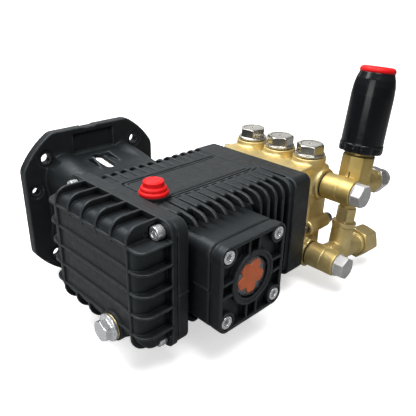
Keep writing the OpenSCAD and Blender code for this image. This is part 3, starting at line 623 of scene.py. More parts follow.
def rib_xy2(P, rn=12.5):
    near = box2(P[0], P[1], -101.8, -40, -233, -60, rn)
    far = box2(P[0], P[1], -101.8, -40, -260, -84, 14)
    return np.maximum(np.where(P[1] < -160, near, far), P[0] + 67)


DRAIN = (-187, -40.5)


def rear_cover():
    f = Field((-106, -236, -65), (-62, -76, 68.5), G * 0.7)
    f.add(lambda P: np.maximum(extr(box2(P[1], P[2], -232.5, -79, -59.2, 65.6, 10.5), P[0], -70, -60, 0.5), P[0] + 64.5))
    f.add(lambda P: rear_core(P, 0.0), 0.6)
    for k in range(5):
        z = 49.3 - 20.8 * k
        f.add(lambda P: extr(rib_xy2(P, 7.5 if k == 0 else 12.5), P[2], z - 1.3, z + 1.3, 0.5), 0.25, (-106, -236, z - 3), (-62, -76, z + 3))
    for i in range(6):
        y = -214 + 21.6 * i
        edge = i in (0, 5)

        def fin(P):
            hi = np.maximum(box2(P[0], P[2], -101.8, -40, -61.5, 65.3, 12.5), np.maximum(P[0] + 67, (-70.0 if edge else 46.0) - P[2]))
            lo = np.maximum(box2(P[0], P[2], -101.8, -40, -57.0, 59.5, 18), np.maximum(P[0] + 67, P[2] + (-70.0 if edge else 36.0)))
            d = np.where(P[2] > 0, hi, lo) if edge else np.minimum(hi, lo)
            return extr(d, P[1], y - 1.45, y + 1.45, 0.5)
        f.add(fin, 0.25, (-106, y - 3, -65), (-62, y + 3, 68.4))
    f.add(lambda P: cyl(P, "x", DRAIN, 14.5, -102.6, -93, 0.8), 2.0, (-109, -206, -60), (-88, -168, -20))
    # corner shelves in front of the upper screws
    f.sub(lambda P: box3(P, (-110, -240, 50.6), (-70, -215.3, 74), 0.5), 0.4, (-108, -240, 47), (-67, -212, 68.4))
    f.sub(lambda P: box3(P, (-110, -104.7, 50.6), (-70, -70, 74), 0.5), 0.4, (-108, -108, 47), (-67, -70, 68.4))
    f.sub(lambda P: np.maximum(rear_core(P, 5.0), np.maximum(np.abs(P[1] + 156) - 54, np.abs(P[2]) - 45)), 1.0)
    f.sub(lambda P: box3(P, (-69, -214, -46), (-50, -100, 46), 1.0))
    f.sub(lambda P: cyl(P, "x", DRAIN, 8, -112, -88))
    for y, z in COV_SCR:
        f.sub(lambda P: cyl(P, "x", (y, z), 4.3, -90, -50), 0, (-82, y - 6, z - 6), (-60, y + 6, z + 6))
        f.sub(lambda P: cyl(P, "x", (y, z), 7.3, -80.0, -70, 0.4), 0.3, (-84, y - 9, z - 9), (-67, y + 9, z + 9))
    return f


def engine_flange():
    f = Field((-89, -83, -89), (89, 3, 89), G * 1.0)
    # plate with clipped corners
    f.add(lambda P: extr(smax(box2(P[0], P[2], -85.5, 85.5, -85.5, 85.5, 1.5), _len2(P[0], P[2]) - 98.7, 2.0), P[1], -11, 0, 0.8))

    def bell(P, a):
        t = np.clip((-11 - P[1]) / 68.0, 0, 1)
        hx = 60 - 10 * t - a
        hz = 55 - 6 * t - a
        r = 20 - 6 * t - a * 0.6
        qx, qz = np.abs(P[0]) - (hx - r), np.abs(P[2]) - (hz - r)
        return (_len2(np.maximum(qx, 0), np.maximum(qz, 0)) + np.minimum(np.maximum(qx, qz), 0) - r) * 0.98
    f.add(lambda P: smax(bell(P, 0), np.abs(P[1] + 44.5) - 35.5, 1.0), 2.5, (-70, -84, -68), (70, 2, 68))
    # shoulders over the bolt bosses where the bell meets the plate, above and below
    for sz in (1, -1):
        for x0, w, z0, h in ((-40, 21.5, 34, 25.2), (39.5, 14.5, 36, 22.0)):
            def swell(P):
                t = np.clip((-11 - P[1]) / 50.0, 0, 1)
                hh = h - 9.0 * t * t
                ww = w - 5.0 * t * t
                return (np.sqrt(((P[0] - x0) / ww) ** 2 + ((P[2] - sz * z0) / hh) ** 2) - 1) * 12.0 + np.maximum(np.maximum(-62 - P[1], P[1] + 6), 0) * 0.7
            f.add(swell, 3.0, (x0 - w - 8, -70, (4 if sz > 0 else -72)), (x0 + w + 8, 2, (72 if sz > 0 else -4)))
    f.add(lambda P: extr(box2(P[0], P[2], -50, 50, -50, 50, 12), P[1], -80, -71, 0.6), 1.5, (-56, -84, -56), (56, -66, 56))
    # cored inside
    f.sub(lambda P: np.maximum(bell(P, 5.5), np.maximum(P[1] - 3, -70 - P[1])), 1.5)
    f.sub(lambda P: cyl(P, "y", (0, 0), 73.05, -5, 6))
    f.sub(lambda P: cyl(P, "y", (0, 0), 31.02, -79, -60))
    f.sub(lambda P: cyl(P, "y", (0, 0), 27, -82, -78))
    # shallow pocket in the plate's back between the swellings
    for sz in (1, -1):
        f.sub(lambda P: box3(P, (-24, -30, 57.0 if sz > 0 else -79.0), (28, -7.8, 79.0 if sz > 0 else -57.0), 1.5), 0.6, (-28, -14, 53 if sz > 0 else -83), (32, -6, 83 if sz > 0 else -53))
    for a in (45, 135, 225, 315):
        x, z = 82.55 * math.cos(math.radians(a)), 82.55 * math.sin(math.radians(a))
        f.sub(lambda P: cyl(P, "y", (x, z), 5.25, -20, 5, 0), 0.5, (x - 12, -16, z - 12), (x + 12, 3, z + 12))
        f.sub(lambda P: cyl(P, "y", (x, z), 9.8, -30, -10.0), 0.2, (x - 14, -20, z - 14), (x + 14, -6, z + 14))
    for s in (-1, 1):
        x, z = -74 * s, 24 * s
        f.sub(lambda P: cyl(P, "y", (x, z), 4.1, -20, 5), 0.4, (x - 10, -16, z - 10), (x + 10, 3, z + 10))
        f.sub(lambda P: cyl(P, "y", (x, z), 8, -30, -10.0), 0.2, (x - 12, -20, z - 12), (x + 12, -6, z + 12))
    for x, z in FL_SCR:
        f.sub(lambda P: cyl(P, "y", (x, z), 4.3, -90, -60), 0, (x - 6, -84, z - 6), (x + 6, -60, z + 6))
    # access windows above and below the shaft
    f.sub(lambda P: extr(box2(P[0] - (P[1] + 40) * 0.06, P[1], -11, 1, -59, -20, 5.9), np.abs(P[2]), 20, 70), 0.4)
    # gussets beside the window
    for sz in (1, -1):
        f.add(lambda P: np.maximum(np.maximum(np.abs(P[0] + 18.5) - 1.4, (P[2] * sz - 60.0) * 0.8 + np.abs(P[1] + 41) * 0.42), np.maximum(np.maximum(-P[1] - 66, P[1] + 22), 50.0 - P[2] * sz)), 0.5,
              (-24, -70, 46 if sz > 0 else -68), (-13, -18, 68 if sz > 0 else -46))
        f.add(lambda P: np.maximum(np.maximum(np.abs(P[0] - 8 - (P[1] + 40) * -0.35) * 0.94 - 1.3, (P[2] * sz - 59.5) * 0.8 + np.abs(P[1] + 34) * 0.36), np.maximum(np.maximum(-P[1] - 62, P[1] + 12), 50.0 - P[2] * sz)), 0.5,
              (-6, -66, 46 if sz > 0 else -68), (24, -8, 68 if sz > 0 else -46))
    # shallow notch cut in the plate's top edge
    f.sub(lambda P: box3(P, (-10, -20, 84.6), (5, 5, 95), 0.5), 0.3)
    return f


def bearing_cover():
    f = Field((-46, -264, -48), (46, -239, 46), G * 0.7)
    f.add(lambda P: extr(box2(P[0], P[2], -42, 42, -44, 42, 10), P[1], -261, -248, 1.3))
    f.add(lambda P: extr(box2(P[0], P[2], -41.1, 41.1, -43.1, 41.1, 9.1), P[1], -250, -247, 0.2), 0)
    f.add(lambda P: cyl(P, "y", (0, 0), 30.9, -250, -242, 0.5))
    f.sub(lambda P: extr(box2(P[0], P[2], -38.7, 38.7, -40.7, 38.7, 7), P[1], -270, -255.0, 0.6), 0.6)
    f.add(lambda P: cyl(P, "y", (0, 0), 27, -261.3, -252, 1.0), 1.2)
    for x in (-32.5, 32.5):
        for z in (-33, 33):
            f.add(lambda P: cyl(P, "y", (x, z), 9.6, -261, -252, 0.8), 1.0, (x - 13, -264, z - 13), (x + 13, -246, z + 13))
    for s in (-6.5, 6.5):
        f.add(lambda P: box3(P, (-41, -260.6, s - 1.2), (-22, -252, s + 1.2), 0.6), 0.8)
        f.add(lambda P: box3(P, (22, -260.6, s - 1.2), (41, -252, s + 1.2), 0.6), 0.8)
        f.add(lambda P: box3(P, (s - 1.2, -260.6, -43), (s + 1.2, -252, -22), 0.6), 0.8)
        f.add(lambda P: box3(P, (s - 1.2, -260.6, 22), (s + 1.2, -252, 41), 0.6), 0.8)
    f.sub(lambda P: cyl(P, "y", (0, 0), 24.2, -270, -260.2), 0.5)
    f.sub(lambda P: cyl(P, "y", (0, 0), 20.5, -270, -254), 0.4)
    f.sub(lambda P: cyl(P, "y", (0, 0), 14, -255, -230), 0.3)
    f.sub(lambda P: np.maximum(cyl(P, "y", (0, 0), 33, -245.8, -243.6), -cyl(P, "y", (0, 0), 29, -260, -230)))
    for x in (-32.5, 32.5):
        for z in (-33, 33):
            f.sub(lambda P: cyl(P, "y", (x, z), 7.2, -270, -253), 0.4, (x - 10, -264, z - 10), (x + 10, -250, z + 10))
            f.sub(lambda P: cyl(P, "y", (x, z), 4.3, -258, -240), 0, (x - 10, -264, z - 10), (x + 10, -239, z + 10))
    return f


MAN = [(123, -59), (127, -63), (168, -63), (176, -56), (176, -26), (181, -19), (181, 48), (178, 51), (150, 51), (146, 55), (144, 56), (123, 56)]


def manifold():
    f = Field((120, -225, -67), (188, -94, 66), G * 0.9)
    f.add(lambda P: np.maximum(extr(smax(poly2(P[0], P[2], MAN), -1e3 + 0 * P[0], 0), P[1], -215.5, -100.5, 2.2), 123 - P[0]))
    for y in YPL:
        f.add(lambda P: cyl(P, "z", (160.4, y), 18.6, 25, 62, 0.8), 4.5, (132, y - 26, 20), (188, y + 26, 66))
    for y, z in HEAD_SCR[4:]:
        f.add(lambda P: cyl(P, "x", (y, z), 8.5, 123, 184, 0.8), 3.0, (121, y - 14, z - 14), (188, y + 14, z + 14))
    for y, z in HEAD_SCR[:4]:
        xs = 181 if z > 0 else 176
        f.add(lambda P: cyl(P, "x", (y, z), 8.2, 150, xs + 0.5, 0.4), 1.5, (148, y - 12, z - 12), (188, y + 12, z + 12))
    f.add(lambda P: cyl(P, "y", (165, 32), 18, -222, -196, 1.2), 5.0, (138, -225, 4), (188, -186, 60))
    f.add(lambda P: cyl(P, "y", (150, -50), 17.5, -222, -196, 1.2), 4.0, (124, -225, -67), (178, -186, -24))
    f.add(lambda P: cyl(P, "y", (134.5, 44), 11.5, -106, -98, 0.8), 2.0, (120, -110, 28), (152, -94, 60))
    # cored side wall between the flange and the ports
    f.sub(lambda P: box3(P, (130, -230, -36), (147, -213.2, 10), 4.0), 3.0, (122, -225, -44), (156, -206, 18))
    for y in YPL:
        f.sub(lambda P: cyl(P, "x", (y, 0), 14, 118, 137))
        f.sub(lambda P: cyl(P, "x", (y, 0), 8.4, 136, 160.4))
        f.sub(lambda P: cyl(P, "z", (160.4, y), 8, -56, -31))
        f.sub(lambda P: cyl(P, "z", (160.4, y), 9.5, -32, 30))
        f.sub(lambda P: cyl(P, "z", (160.4, y), 12.02, 16, 70))
    f.sub(lambda P: cyl(P, "y", (165, 32), 7.2, -230, -108))
    f.sub(lambda P: cyl(P, "y", (150, -50), 7.2, -230, -108))
    f.sub(lambda P: cyl(P, "y", (134.5, 44), 6, -116, -90))
    for y, z in HEAD_SCR:
        f.sub(lambda P: cyl(P, "x", (y, z), 4.3, 118, 190), 0, (118, y - 6, z - 6), (190, y + 6, z + 6))
    return f


LEAN = math.radians(8.2)
UO = (188.9, -241.6, 23.07)
UL = Matrix.Translation(UO) @ Matrix.Rotation(LEAN, 4, "Y")


def local(x, z):
    dx, dz = x - UO[0], z - UO[2]
    return dx * math.cos(LEAN) - dz * math.sin(LEAN), dx * math.sin(LEAN) + dz * math.cos(LEAN)


def unloader_body():
    # built in the leaning frame, then set on the port
    f = Field((-46, -21, -34), (48, 21, 66), G * 0.7)
    a, b = local(165, 32)
    f.add(lambda P: cyl(P, "z", (0, 0), 16, -9, 34, 1.2))
    f.add(lambda P: extr(ngon2(P[0], P[1], 8, 16.9, 22.5), P[2], 10, 43, 0.9), 0.8)
    f.add(lambda P: cyl(P, "z", (0, 0), 13.5, 38, 63, 0.7), 0.8)
    f.add(lambda P: cyl(P, "y", (a, b), 14.8, -17.9, 18.0, 0.9), 1.6)
    f.add(lambda P: cyl(P, "x", (0, 8), 11, -24, 0, 0.5), 2.0)
    f.add(lambda P: cyl(P, "z", (0, 0), 9, -32, -4, 0.5), 2.0)
    f.add(lambda P: cyl(P, "x", (0, 8), 13.0, 0, 45, 1.0), 2.5)
    f.add(lambda P: cyl(P, "x", (0, 8), 13.6, 33, 45, 1.0), 0.6)
    # groove between the barrel's two lengths
    f.sub(lambda P: np.maximum(np.abs(P[1] + 2.2) - 0.35, -(_len2(P[0] - a, P[2] - b) - 14.3)), 0.2, (a - 17, -4, b - 17), (a + 12, 0, b + 17))
    f.sub(lambda P: cyl(P, "y", (a, b), 7.6, -30, 40))
    f.sub(lambda P: cyl(P, "z", (0, 0), 10.05, 12, 80))
    f.sub(lambda P: cyl(P, "z", (0, 0), 4.5, -50, 12))
    f.sub(lambda P: cyl(P, "x", (0, 8), 8.05, 25, 60))
    f.sub(lambda P: cyl(P, "x", (0, 8), 5, -24, 30))
    return f


def inlet_tee():
    f = Field((-45, -21, -90), (51, 21, -38), G * 0.7)
    a, b = local(150, -50)
    f.add(lambda P: cyl(P, "y", (a, b), 14.8, -17.9, 18.0, 0.9))
    f.add(lambda P: cyl(P, "z", (0, 0), 12.6, -84, -41.6, 0.9), 1.5)
    f.add(lambda P: cyl(P, "x", (0, -72), 11.6, -27, 0, 0.6), 2.0)
    f.add(lambda P: cyl(P, "x", (0, -72), 12.4, 0, 36, 1.0), 2.5)
    f.add(lambda P: cyl(P, "x", (0, -72), 11, 20, 46, 0.6), 0.6)
    f.add(lambda P: cyl(P, "x", (0, -72), 14.2, 34.0, 37.4, 0.6), 0.4)
    f.add(lambda P: cyl(P, "x", (0, -72), 13.6, 44.8, 47.5, 0.5), 0.3)
    f.sub(lambda P: np.maximum(np.abs(P[1] + 2.2) - 0.35, -(_len2(P[0] - a, P[2] - b) - 14.3)), 0.2, (a - 17, -4, b - 17), (a + 12, 0, b + 17))
    f.sub(lambda P: cyl(P, "y", (a, b), 7.6, -30, 40))
    f.sub(lambda P: cyl(P, "z", (0, 0), 7.05, -63, -30))
    f.sub(lambda P: cyl(P, "z", (0, 0), 5, -72, -55))
    f.sub(lambda P: cyl(P, "x", (0, -72), 8, -26, 90))
    return f


def put(o, *nodes):
    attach(o, BODY[nodes[0]])
    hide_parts(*nodes)
    return o


BODY = {}
for b, ns in frame["record"]["behaviour"]["bodies"].items():
    for n in ns:
        BODY[n] = b

# the unloader body takes the darker brass copy, which is painted shade
for name, fn, tris, xf in (("crankcase", crankcase, 180000, None), ("rear_cover", rear_cover, 170000, None),
                           ("engine_flange", engine_flange, 150000, None), ("bearing_cover", bearing_cover, 90000, None),
                           ("manifold", manifold, 130000, None), ("unloader_body", unloader_body, 70000, UL), ("inlet_tee", inlet_tee, 70000, UL)):
    o = cast(name + "_casting", fn(), tris, MATS["column_brass_painted_shade" if name == "unloader_body" else SLOT[name]], xf)
    put(o, name)

# ---------------------------------------------------------------- fastenings and fittings


def solid(name, nodes, fn, lo, hi, h, places=(None,), tris=None):
    """One small field, copied to each place (Matrix in mm), joined into one piece."""
    f = Field(lo, hi, h * (1.0))
    fn(f)
    v, q = surface(f)
    vs, qs = [], []
    for i, M in enumerate(places):
        w = v
        if M is not None:
            A = np.array(M)
            w = v @ A[:3, :3].T + A[:3, 3][None, :]
        vs.append(w * MM)
        qs.append(q + i * len(v))
    me = mesh_from(name, np.concatenate(vs), np.concatenate(qs))
    o = new_obj(name, me)
    n = 2 * sum(len(x) for x in qs)
    if tris and n > tris:
        d = o.modifiers.new("thin", "DECIMATE")
        d.ratio = tris / n
        apply_mods(o)
        for p in o.data.polygons:
            p.use_smooth = True
    w = o.modifiers.new("normals", "WEIGHTED_NORMAL")
    w.weight = 50
    w.keep_sharp = False
    o.data.materials.clear()
    o.data.materials.append(MATS[SLOT[nodes[0]]])
    put(o, *nodes)
    return o


def hexa(P, af, z0, z1, cham0=0.0, cham1=0.0, rnd=0.35, a0=0.0):
    """Hexagon along z; cham: depth of the turned chamfer at each end."""
    d = extr(ngon2(P[0], P[1], 6, af / 2, a0), P[2], z0, z1, rnd)
    R = _len2(P[0], P[1])
    if cham1:
        d = smax(d, (R - af / 2 * 0.985 + (P[2] - z1) * 1.9) * 0.47, 0.3)
    if cham0:
        d = smax(d, (R - af / 2 * 0.985 + (z0 - P[2]) * 1.9) * 0.47, 0.3)
    return d


def zc(P, r, z0, z1, rnd=0.3):
    return cyl(P, "z", (0, 0), r, z0, z1, rnd)


def rot_to(axis, origin, spin=0.0):
    """Matrix that carries local +Z onto axis and puts local origin at origin."""
    q = Vector((0, 0, 1)).rotation_difference(Vector(axis))
    return Matrix.Translation(origin) @ q.to_matrix().to_4x4() @ Matrix.Rotation(math.radians(spin), 4, "Z")


def screw(f, l, hr=6.5, hl=8.0):
    def body(P):
        d = zc(P, hr, 0, hl, 0.7)
        d = np.minimum(d, zc(P, 3.95, -l, 0.5, 0.4))
        d = smax(d, -(_len2(P[0], P[1]) - 4.1 + (hl - P[2]) * 1.2) * 0.6, 0.2)
        return smax(d, -extr(ngon2(P[0], P[1], 6, 3.0, 0), P[2], hl - 4, hl + 3, 0.0), 0.25)
    f.add(body)
    return f


def knurl(f, hr, z0, z1, n=36, dep=0.28):
    def k(P):
        a = np.arctan2(P[1], P[0])
        return np.maximum(_len2(P[0], P[1]) - hr + dep * (0.5 + 0.5 * np.cos(a * n)), np.maximum(z0 - P[2], P[2] - z1) - 0 * P[0])
    return k


S_COVER = [rot_to((-1, 0, 0), (-70, y, z), s) for (y, z), s in zip(COV_SCR, (10, 40, 25, 55))]
solid("rear_cover_screws_m8", ("rear_cover_screws",), lambda f: screw(f, 15.5), (-8, -8, -18), (8, 8, 9), 0.5, S_COVER)
S_BEAR = [rot_to((0, -1, 0), (x, -253, z), s) for x, z, s in ((-32.5, -33, 5), (-32.5, 33, 20), (32.5, -33, 42), (32.5, 33, 12))]
solid("bearing_cover_screws_m8", ("bearing_cover_screws",), lambda f: screw(f, 17), (-8, -8, -19), (8, 8, 9), 0.5, S_BEAR)
S_FL = [rot_to((0, 1, 0), (x, -70, z), 15) for x, z in FL_SCR]
solid("engine_flange_screws_m8", ("engine_flange_screws",), lambda f: screw(f, 25, 6, 7), (-8, -8, -27), (8, 8, 9), 0.6, S_FL)
S_MAN = [rot_to((1, 0, 0), (x, y, z), 8) for (y, z), x in zip(HEAD_SCR, HEAD_X)]
solid("manifold_bolts_m8", ("manifold_bolts",), lambda f: screw(f, 60), (-8, -8, -62), (8, 8, 9), 0.6, S_MAN)


def drain(f):
    f.add(lambda P: zc(P, 13.2, 0, 3.0, 0.8))
    f.add(lambda P: hexa(P, 18, 2.0, 10.9, 0, 1, 0.3, 12), 0.9)
    f.add(lambda P: zc(P, 7.9, -10, 1, 0.4))
    f.sub(lambda P: zc(P, 5.2, 10.5, 12, 0.1), 0.2)


solid("drain_plug_hex", ("drain_plug",), drain, (-14, -14, -11), (14, 14, 12.5), 0.45, [rot_to((-1, 0, 0), (-104.1, -187, -40.5), 20)])


def cap(f):
    f.add(lambda P: zc(P, 17, 1.0, 3.4, 0.7))
    f.add(lambda P: hexa(P, 27, 3.0, 14, 0, 1, 0.35), 1.0)
    f.add(lambda P: zc(P, 11.95, -16, 2, 0.4))
    f.sub(lambda P: zc(P, 10.6, 13.55, 16, 0.1), 0.3)
    f.sub(lambda P: zc(P, 1.3, 12.9, 16, 0.2), 0.5)
    f.sub(lambda P: zc(P, 7.5, -20, -8, 0.2), 0.0)


solid("valve_caps_hex", ("discharge_valve_caps",), cap, (-18.5, -18.5, -17), (18.5, 18.5, 15.5), 0.55,
      [Matrix.Translation((160.4, y, 62)) @ Matrix.Rotation(math.radians(a), 4, "Z") for y, a in zip(YPL, (10, 34, 22))], tris=150000)


def banjo(f):
    f.add(lambda P: zc(P, 13, -1.0, 0.4, 0.3))
    f.add(lambda P: hexa(P, 23, 0, 11.3, 0, 1, 0.35), 0.3)
    f.add(lambda P: zc(P, 6.9, -47, 1, 0.4))
    f.sub(lambda P: zc(P, 1.0, 10.7, 14, 0.1), 0.4)


solid("banjo_bolts_hex", ("banjo_bolts",), banjo, (-15, -15, -49), (15, 15, 12.5), 0.55,
      [rot_to((0, -1, 0), (165, -260.6, 32), 20), rot_to((0, -1, 0), (150, -260.6, -50), -2)])


def gplug(f):
    f.add(lambda P: zc(P, 11, 0, 2.4, 0.4))
    f.add(lambda P: hexa(P, 19, 1.5, 15.5, 0, 1, 0.3, 0), 0.4)
    f.add(lambda P: zc(P, 5.95, -14, 1, 0.3))


solid("gallery_plug_hex", ("gallery_plugs",), gplug, (-13, -13, -15), (13, 13, 17), 0.5, [rot_to((0, 1, 0), (134.5, -98, 45), 0)])


def vent(f):
    prof = [(0, 60), (13.9, 60), (13.9, 62.2), (13.2, 63.2), (12.3, 63.6), (12.2, 65.9), (11.6, 67.0), (10.0, 67.6), (9.8, 71.9), (9.2, 72.6), (0, 72.8)]
    f.add(lambda P: poly2(_len2(P[0], P[1]), P[2], prof) - 0.12)
    f.add(lambda P: zc(P, 8.0, 45, 61, 0.4))
    # a turned ring on the top face
    f.sub(lambda P: np.maximum(np.abs(_len2(P[0], P[1]) - 7.9) - 0.35, 72.35 - P[2]), 0.2, (-16, -16, 70), (16, 16, 74))


solid("vent_cap_red", ("vent_cap",), vent, (-16, -16, 44), (16, 16, 74.5), 0.4, [Matrix.Translation((-33, -164, 0))])

KN = 47.0


def knob(f):
    R, H = 23.5, 84.5
    prof = [(0, 0), (R, 0), (R, 8.6), (R - 0.8, 9.6), (R - 1.0, 30), (R - 1.2, H - 24), (R - 1.9, H - 14), (R - 3.2, H - 7), (R - 4.8, H - 2.4), (R - 5.6, H), (0, H)]
    f.add(lambda P: poly2(_len2(P[0], P[1]), P[2], prof))
    f.sub(lambda P: zc(P, 14.6, -2, 21), 0.3, None, (20, 20, 24))
    f.add(lambda P: zc(P, 6, 15.1, 24))
    f.sub(lambda P: zc(P, 15.6, H - 3, H + 4), 0.2)
    # grip notches round the lower ring
    for k in range(8):
        a = 2 * math.pi * (k + 0.4) / 8
        f.sub(lambda P: _len2(P[0] - (R + 5.0) * math.cos(a), P[1] - (R + 5.0) * math.sin(a)) - 6.4 + 0 * P[2] + np.maximum(0, P[2] - 7.6) * 1.5, 0.6, (-26, -26, -2), (26, 26, 13))
    # long shallow flutes that die out below the top
    for k in range(6):
        a = 2 * math.pi * (k + 0.25) / 6
        f.sub(lambda P: _len2(P[0] - (R + 60) * math.cos(a), P[1] - (R + 60) * math.sin(a)) - 60.35 + np.abs(P[2] - 38) * 0.006, 1.5, (-26, -26, 9), (26, 26, 78))


solid("unloader_knob_body", ("unloader_knob",), knob, (-25.5, -25.5, -2), (25.5, 25.5, 87), 0.6, [UL @ Matrix.Translation((0, 0, KN))], tris=120000)


def kcap(f):
    prof = [(0, -2.9), (15.5, -2.9), (15.5, 0.05), (18.0, 0.05), (18.5, 1.6), (18.2, 3.3), (17.0, 4.9), (15.2, 5.7), (13.2, 5.4), (0, 5.6)]
    f.add(lambda P: poly2(_len2(P[0], P[1]), P[2], prof) - 0.2)


solid("knob_cap_red", ("knob_cap",), kcap, (-20, -20, -4.5), (20, 20, 7), 0.5, [UL @ Matrix.Translation((0, 0, KN + 84.5))])


def nut(f):
    f.add(lambda P: hexa(P, 33, 38.2, 65.2, 1, 1, 0.5, 12))
    f.sub(lambda P: zc(P, 11.5, 30, 44.2, 0.1))
    f.sub(lambda P: zc(P, 14.3, 43.5, 53, 0.1))
    f.sub(lambda P: zc(P, 13.2, 52, 80, 0.1), 0.5)
    for k in range(5):
        f.sub(lambda P: np.maximum(_len2(P[0], P[1]) - 13.7, np.abs(P[2] - 54.8 - 2.1 * k) - 0.5), 0.5)


X_AXIS = Matrix.Rotation(math.pi / 2, 4, "Y")
solid("inlet_nut_hex", ("inlet_nut",), nut, (-20.5, -20.5, 36), (20.5, 20.5, 67), 0.6, [UL @ Matrix.Translation((0, 0, -72)) @ X_AXIS])


def outlet(f):
    f.add(lambda P: hexa(P, 27.5, 45.1, 59.1, 1, 1, 0.35, 8))
    f.add(lambda P: zc(P, 8, 27, 46, 0.3))
    f.add(lambda P: zc(P, 11, 58, 72, 0.8), 0.3)
    for k in range(4):
        f.sub(lambda P: np.maximum(10.4 - _len2(P[0], P[1]), np.abs(P[2] - 62.0 - 2.3 * k) - 0.45), 0.5)
    f.sub(lambda P: zc(P, 5, 20, 80, 0.1), 0.5)


solid("outlet_connector_hex", ("outlet_connector",), outlet, (-17, -17, 26), (17, 17, 73.5), 0.55, [UL @ Matrix.Translation((0, 0, 8)) @ X_AXIS])


def tube(f):
    f.add(lambda P: hexa(P, 19.4, -36.5, -18.5, 0, 1, 0.4, 8))
    f.add(lambda P: zc(P, 13.6, -41.5, -35.6, 0.8), 0.5)
    f.add(lambda P: zc(P, 7, -62, -36, 0.4))
    f.sub(lambda P: zc(P, 4.5, -64, -31, 0.1))
    f.sub(lambda P: zc(P, 9.05, -32.5, -10, 0.1))


solid("bypass_tube_hex", ("bypass_tube",), tube, (-15, -15, -63.5), (15, 15, -17), 0.55, [UL])


def lens(f):
    prof = [(0, 0), (20.35, 0), (20.35, 2.2), (19.6, 3.1), (17.5, 3.7), (12, 4.5), (0, 5.0)]
    f.add(lambda P: poly2(_len2(P[0], P[1]), P[2], prof))
    f.sub(lambda P: zc(P, 18.9, -3, 2.3, 0.2))


solid("sight_lens_clear", ("sight_lens",), lens, (-22, -22, -1.5), (22, 22, 6.5), 0.5, [rot_to((0, -1, 0), (0, -256.5, 0))])


def reflector(f):
    f.add(lambda P: zc(P, 18.6, -1.4, 1.0, 0.1))
    for k in range(5):
        a = math.radians(72 * k + 20)
        f.add(lambda P: np.sqrt((P[0] - 15.2 * math.cos(a)) ** 2 + (P[1] - 15.2 * math.sin(a)) ** 2 + (P[2] * 2.2) ** 2) - 4.6, 0.6)


def star(f):
    def d(P):
        r = _len2(P[0], P[1])
        a = np.arctan2(P[1], P[0])
        rim = 15.0 + 2.6 * np.cos(5 * (a - math.radians(56))) - 0.8 * np.cos(10 * (a - math.radians(56)))
        edge = r - rim
        h = 0.9 + 0.5 * np.cos(r * 0.42) * np.clip(1 - r / 18, 0, 1) + 0.22 * np.cos(a * 20 + r * 0.9)
        return np.maximum(edge * 0.7, np.maximum(-P[2], P[2] - 1.4 - h * 0.5) * 0.9)
    f.add(d)


grey = MATS["reflector_grey"]
o = solid("sight_reflector_base", ("sight_reflector",), reflector, (-22, -22, -2.2), (22, 22, 3.4), 0.5, [rot_to((0, -1, 0), (0, -255.6, 0))])
o.data.materials[0] = grey
RB = o
f = Field((-19.5, -19.5, -0.8), (19.5, 19.5, 3.4), 0.4)
star(f)
v, q = surface(f)
A = np.array(rot_to((0, -1, 0), (0, -256.4, 0)))
o = new_obj("sight_reflector_orange", mesh_from("sight_reflector_orange", (v @ A[:3, :3].T + A[:3, 3][None, :]) * MM, q))
o.data.materials.append(MATS["orange_reflector"])
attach(o, BODY["sight_reflector"])
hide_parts("sight_reflector")


def washer(f):
    f.add(lambda P: zc(P, 12.9, 0, 1.5, 0.35))
    f.sub(lambda P: zc(P, 8.1, -1, 3, 0))


solid("drain_washer_ring", ("drain_plug_washer",), washer, (-14, -14, -1), (14, 14, 2.6), 0.4, [rot_to((-1, 0, 0), (-102.6, -187, -40.5))])

# ---------------------------------------------------------------- light levels
FLOOR_GLOW = 0.55
WORLD_LOW, WORLD_HIGH = 0.03, 0.42
LIGHTS = [
    (("top_soft", (-0.26, 0.40, 1.22), (0.02, -0.14, 0), 1.3, 22), {"size_y": 0.85}),
    (("left_soft", (-1.22, -0.52, 0.52), (0.0, -0.2, 0), 0.8, 5.0), {"size_y": 0.7}),
    (("over_front", (-0.12, -0.60, 1.10), (0.08, -0.24, 0), 0.55, 9.0), {"size_y": 0.45}),
    (("back_panel", (1.7, 1.9, 1.15), (0.1, -0.15, 0), 2.4, 7.6), {"size_y": 1.2}),
]

# ---------------------------------------------------------------- stage, light, camera
lo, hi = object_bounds()
floor_z = lo[2] - 0.0003
bm = bmesh.new()
rows = [[bm.verts.new((x, y, floor_z)) for x in (-30, 30)] for y in (-30, 30)]
bm.faces.new((rows[0][0], rows[0][1], rows[1][1], rows[1][0]))
me = bpy.data.meshes.new("floor")
bm.to_mesh(me)
bm.free()
floor = new_obj("floor", me)
k = Nodes("floor_paper")
lp = k.n("LightPath")
paper = k.ramp(k.noise(3, 2), [(0.3, (0.86, 0.86, 0.86)), (0.7, (0.88, 0.88, 0.88))])
dim = k.mix(lp.outputs["Is Glossy Ray"], (0.08, 0.08, 0.08), (0.36, 0.36, 0.36))
k.set(Base_Color=k.mix(lp.outputs["Is Camera Ray"], dim, paper), Roughness=0.85, Specular_IOR_Level=0.1)
k.bump(k.noise(400, 2), 0.02, 0.0003)
# paper brought up towards white where nothing shades it
em = k.n("Emission")
em.inputs[0].default_value = (1, 1, 1, 1)
tc = k.n("TexCoord")
far = k.n("VectorMath", operation="LENGTH")
k.link(tc.outputs["Object"], far.inputs[0])
k.link(k.math("MULTIPLY", lp.outputs["Is Camera Ray"], k.rng(far.outputs["Value"], 0.35, 2.2, FLOOR_GLOW, 0.93)), em.inputs[1])
ad = k.n("AddShader")
k.link(k.p.outputs[0], ad.inputs[0])
k.link(em.outputs[0], ad.inputs[1])
k.link(ad.outputs[0], k.out.inputs[0])
me.materials.append(k.m)

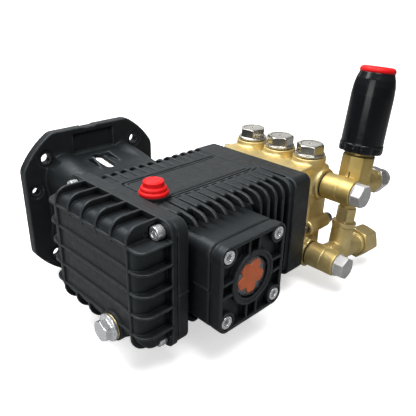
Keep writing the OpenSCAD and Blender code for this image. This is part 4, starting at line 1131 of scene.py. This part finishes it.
w = bpy.data.worlds.new("studio")
bpy.context.scene.world = w
w.use_nodes = True
wt = w.node_tree
bg = wt.nodes["Background"]
wn = wt.nodes.new
lp = wn("ShaderNodeLightPath")
tc = wn("ShaderNodeTexCoord")
sp = wn("ShaderNodeSeparateXYZ")
wt.links.new(tc.outputs["Generated"], sp.inputs[0])
mr = wn("ShaderNodeMapRange")
mr.inputs[1].default_value, mr.inputs[2].default_value = -0.1, 1.0
mr.inputs[3].default_value, mr.inputs[4].default_value = WORLD_LOW, WORLD_HIGH
wt.links.new(sp.outputs[2], mr.inputs[0])
mx = wn("ShaderNodeMix")
wt.links.new(lp.outputs["Is Camera Ray"], mx.inputs[0])
wt.links.new(mr.outputs[0], mx.inputs[2])
mx.inputs[3].default_value = 1.0
bg.inputs[0].default_value = (1, 1, 1, 1)
wt.links.new(mx.outputs[0], bg.inputs[1])


def area(name, loc, target, size, power, col=(1, 1, 1), size_y=None):
    L = bpy.data.lights.new(name, "AREA")
    L.energy = power
    L.color = col
    L.size = size
    if size_y:
        L.shape = "RECTANGLE"
        L.size_y = size_y
    o = bpy.data.objects.new(name, L)
    bpy.context.scene.collection.objects.link(o)
    o.location = loc
    o.rotation_euler = (Vector(target) - Vector(loc)).to_track_quat("-Z", "Y").to_euler()
    return o


for args, kw in LIGHTS:
    area(*args, **kw)

cam = bpy.data.cameras.new("camera")
cam.sensor_width = 36
cam.lens = 498.45 / 416 * 36
cam.clip_start = 0.01
cam.clip_end = 100
co = bpy.data.objects.new("camera", cam)
bpy.context.scene.collection.objects.link(co)
f = Vector((0.6404, 0.6415, -0.4223)).normalized()
r0 = Vector((f.y, -f.x, 0)).normalized()
u0 = r0.cross(f)
roll = math.radians(1.16)
r = r0 * math.cos(roll) + u0 * math.sin(roll)
u = u0 * math.cos(roll) - r0 * math.sin(roll)
M = Matrix((r, u, -f)).transposed().to_4x4()
M.translation = Vector((-0.29464, -0.49690, 0.24175))
co.matrix_world = M
bpy.context.scene.camera = co
bpy.context.scene.view_settings.view_transform = "Standard"
bpy.context.scene.view_settings.look = "None"

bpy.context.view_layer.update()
print("scene built in %.1f s" % (time.time() - T0))
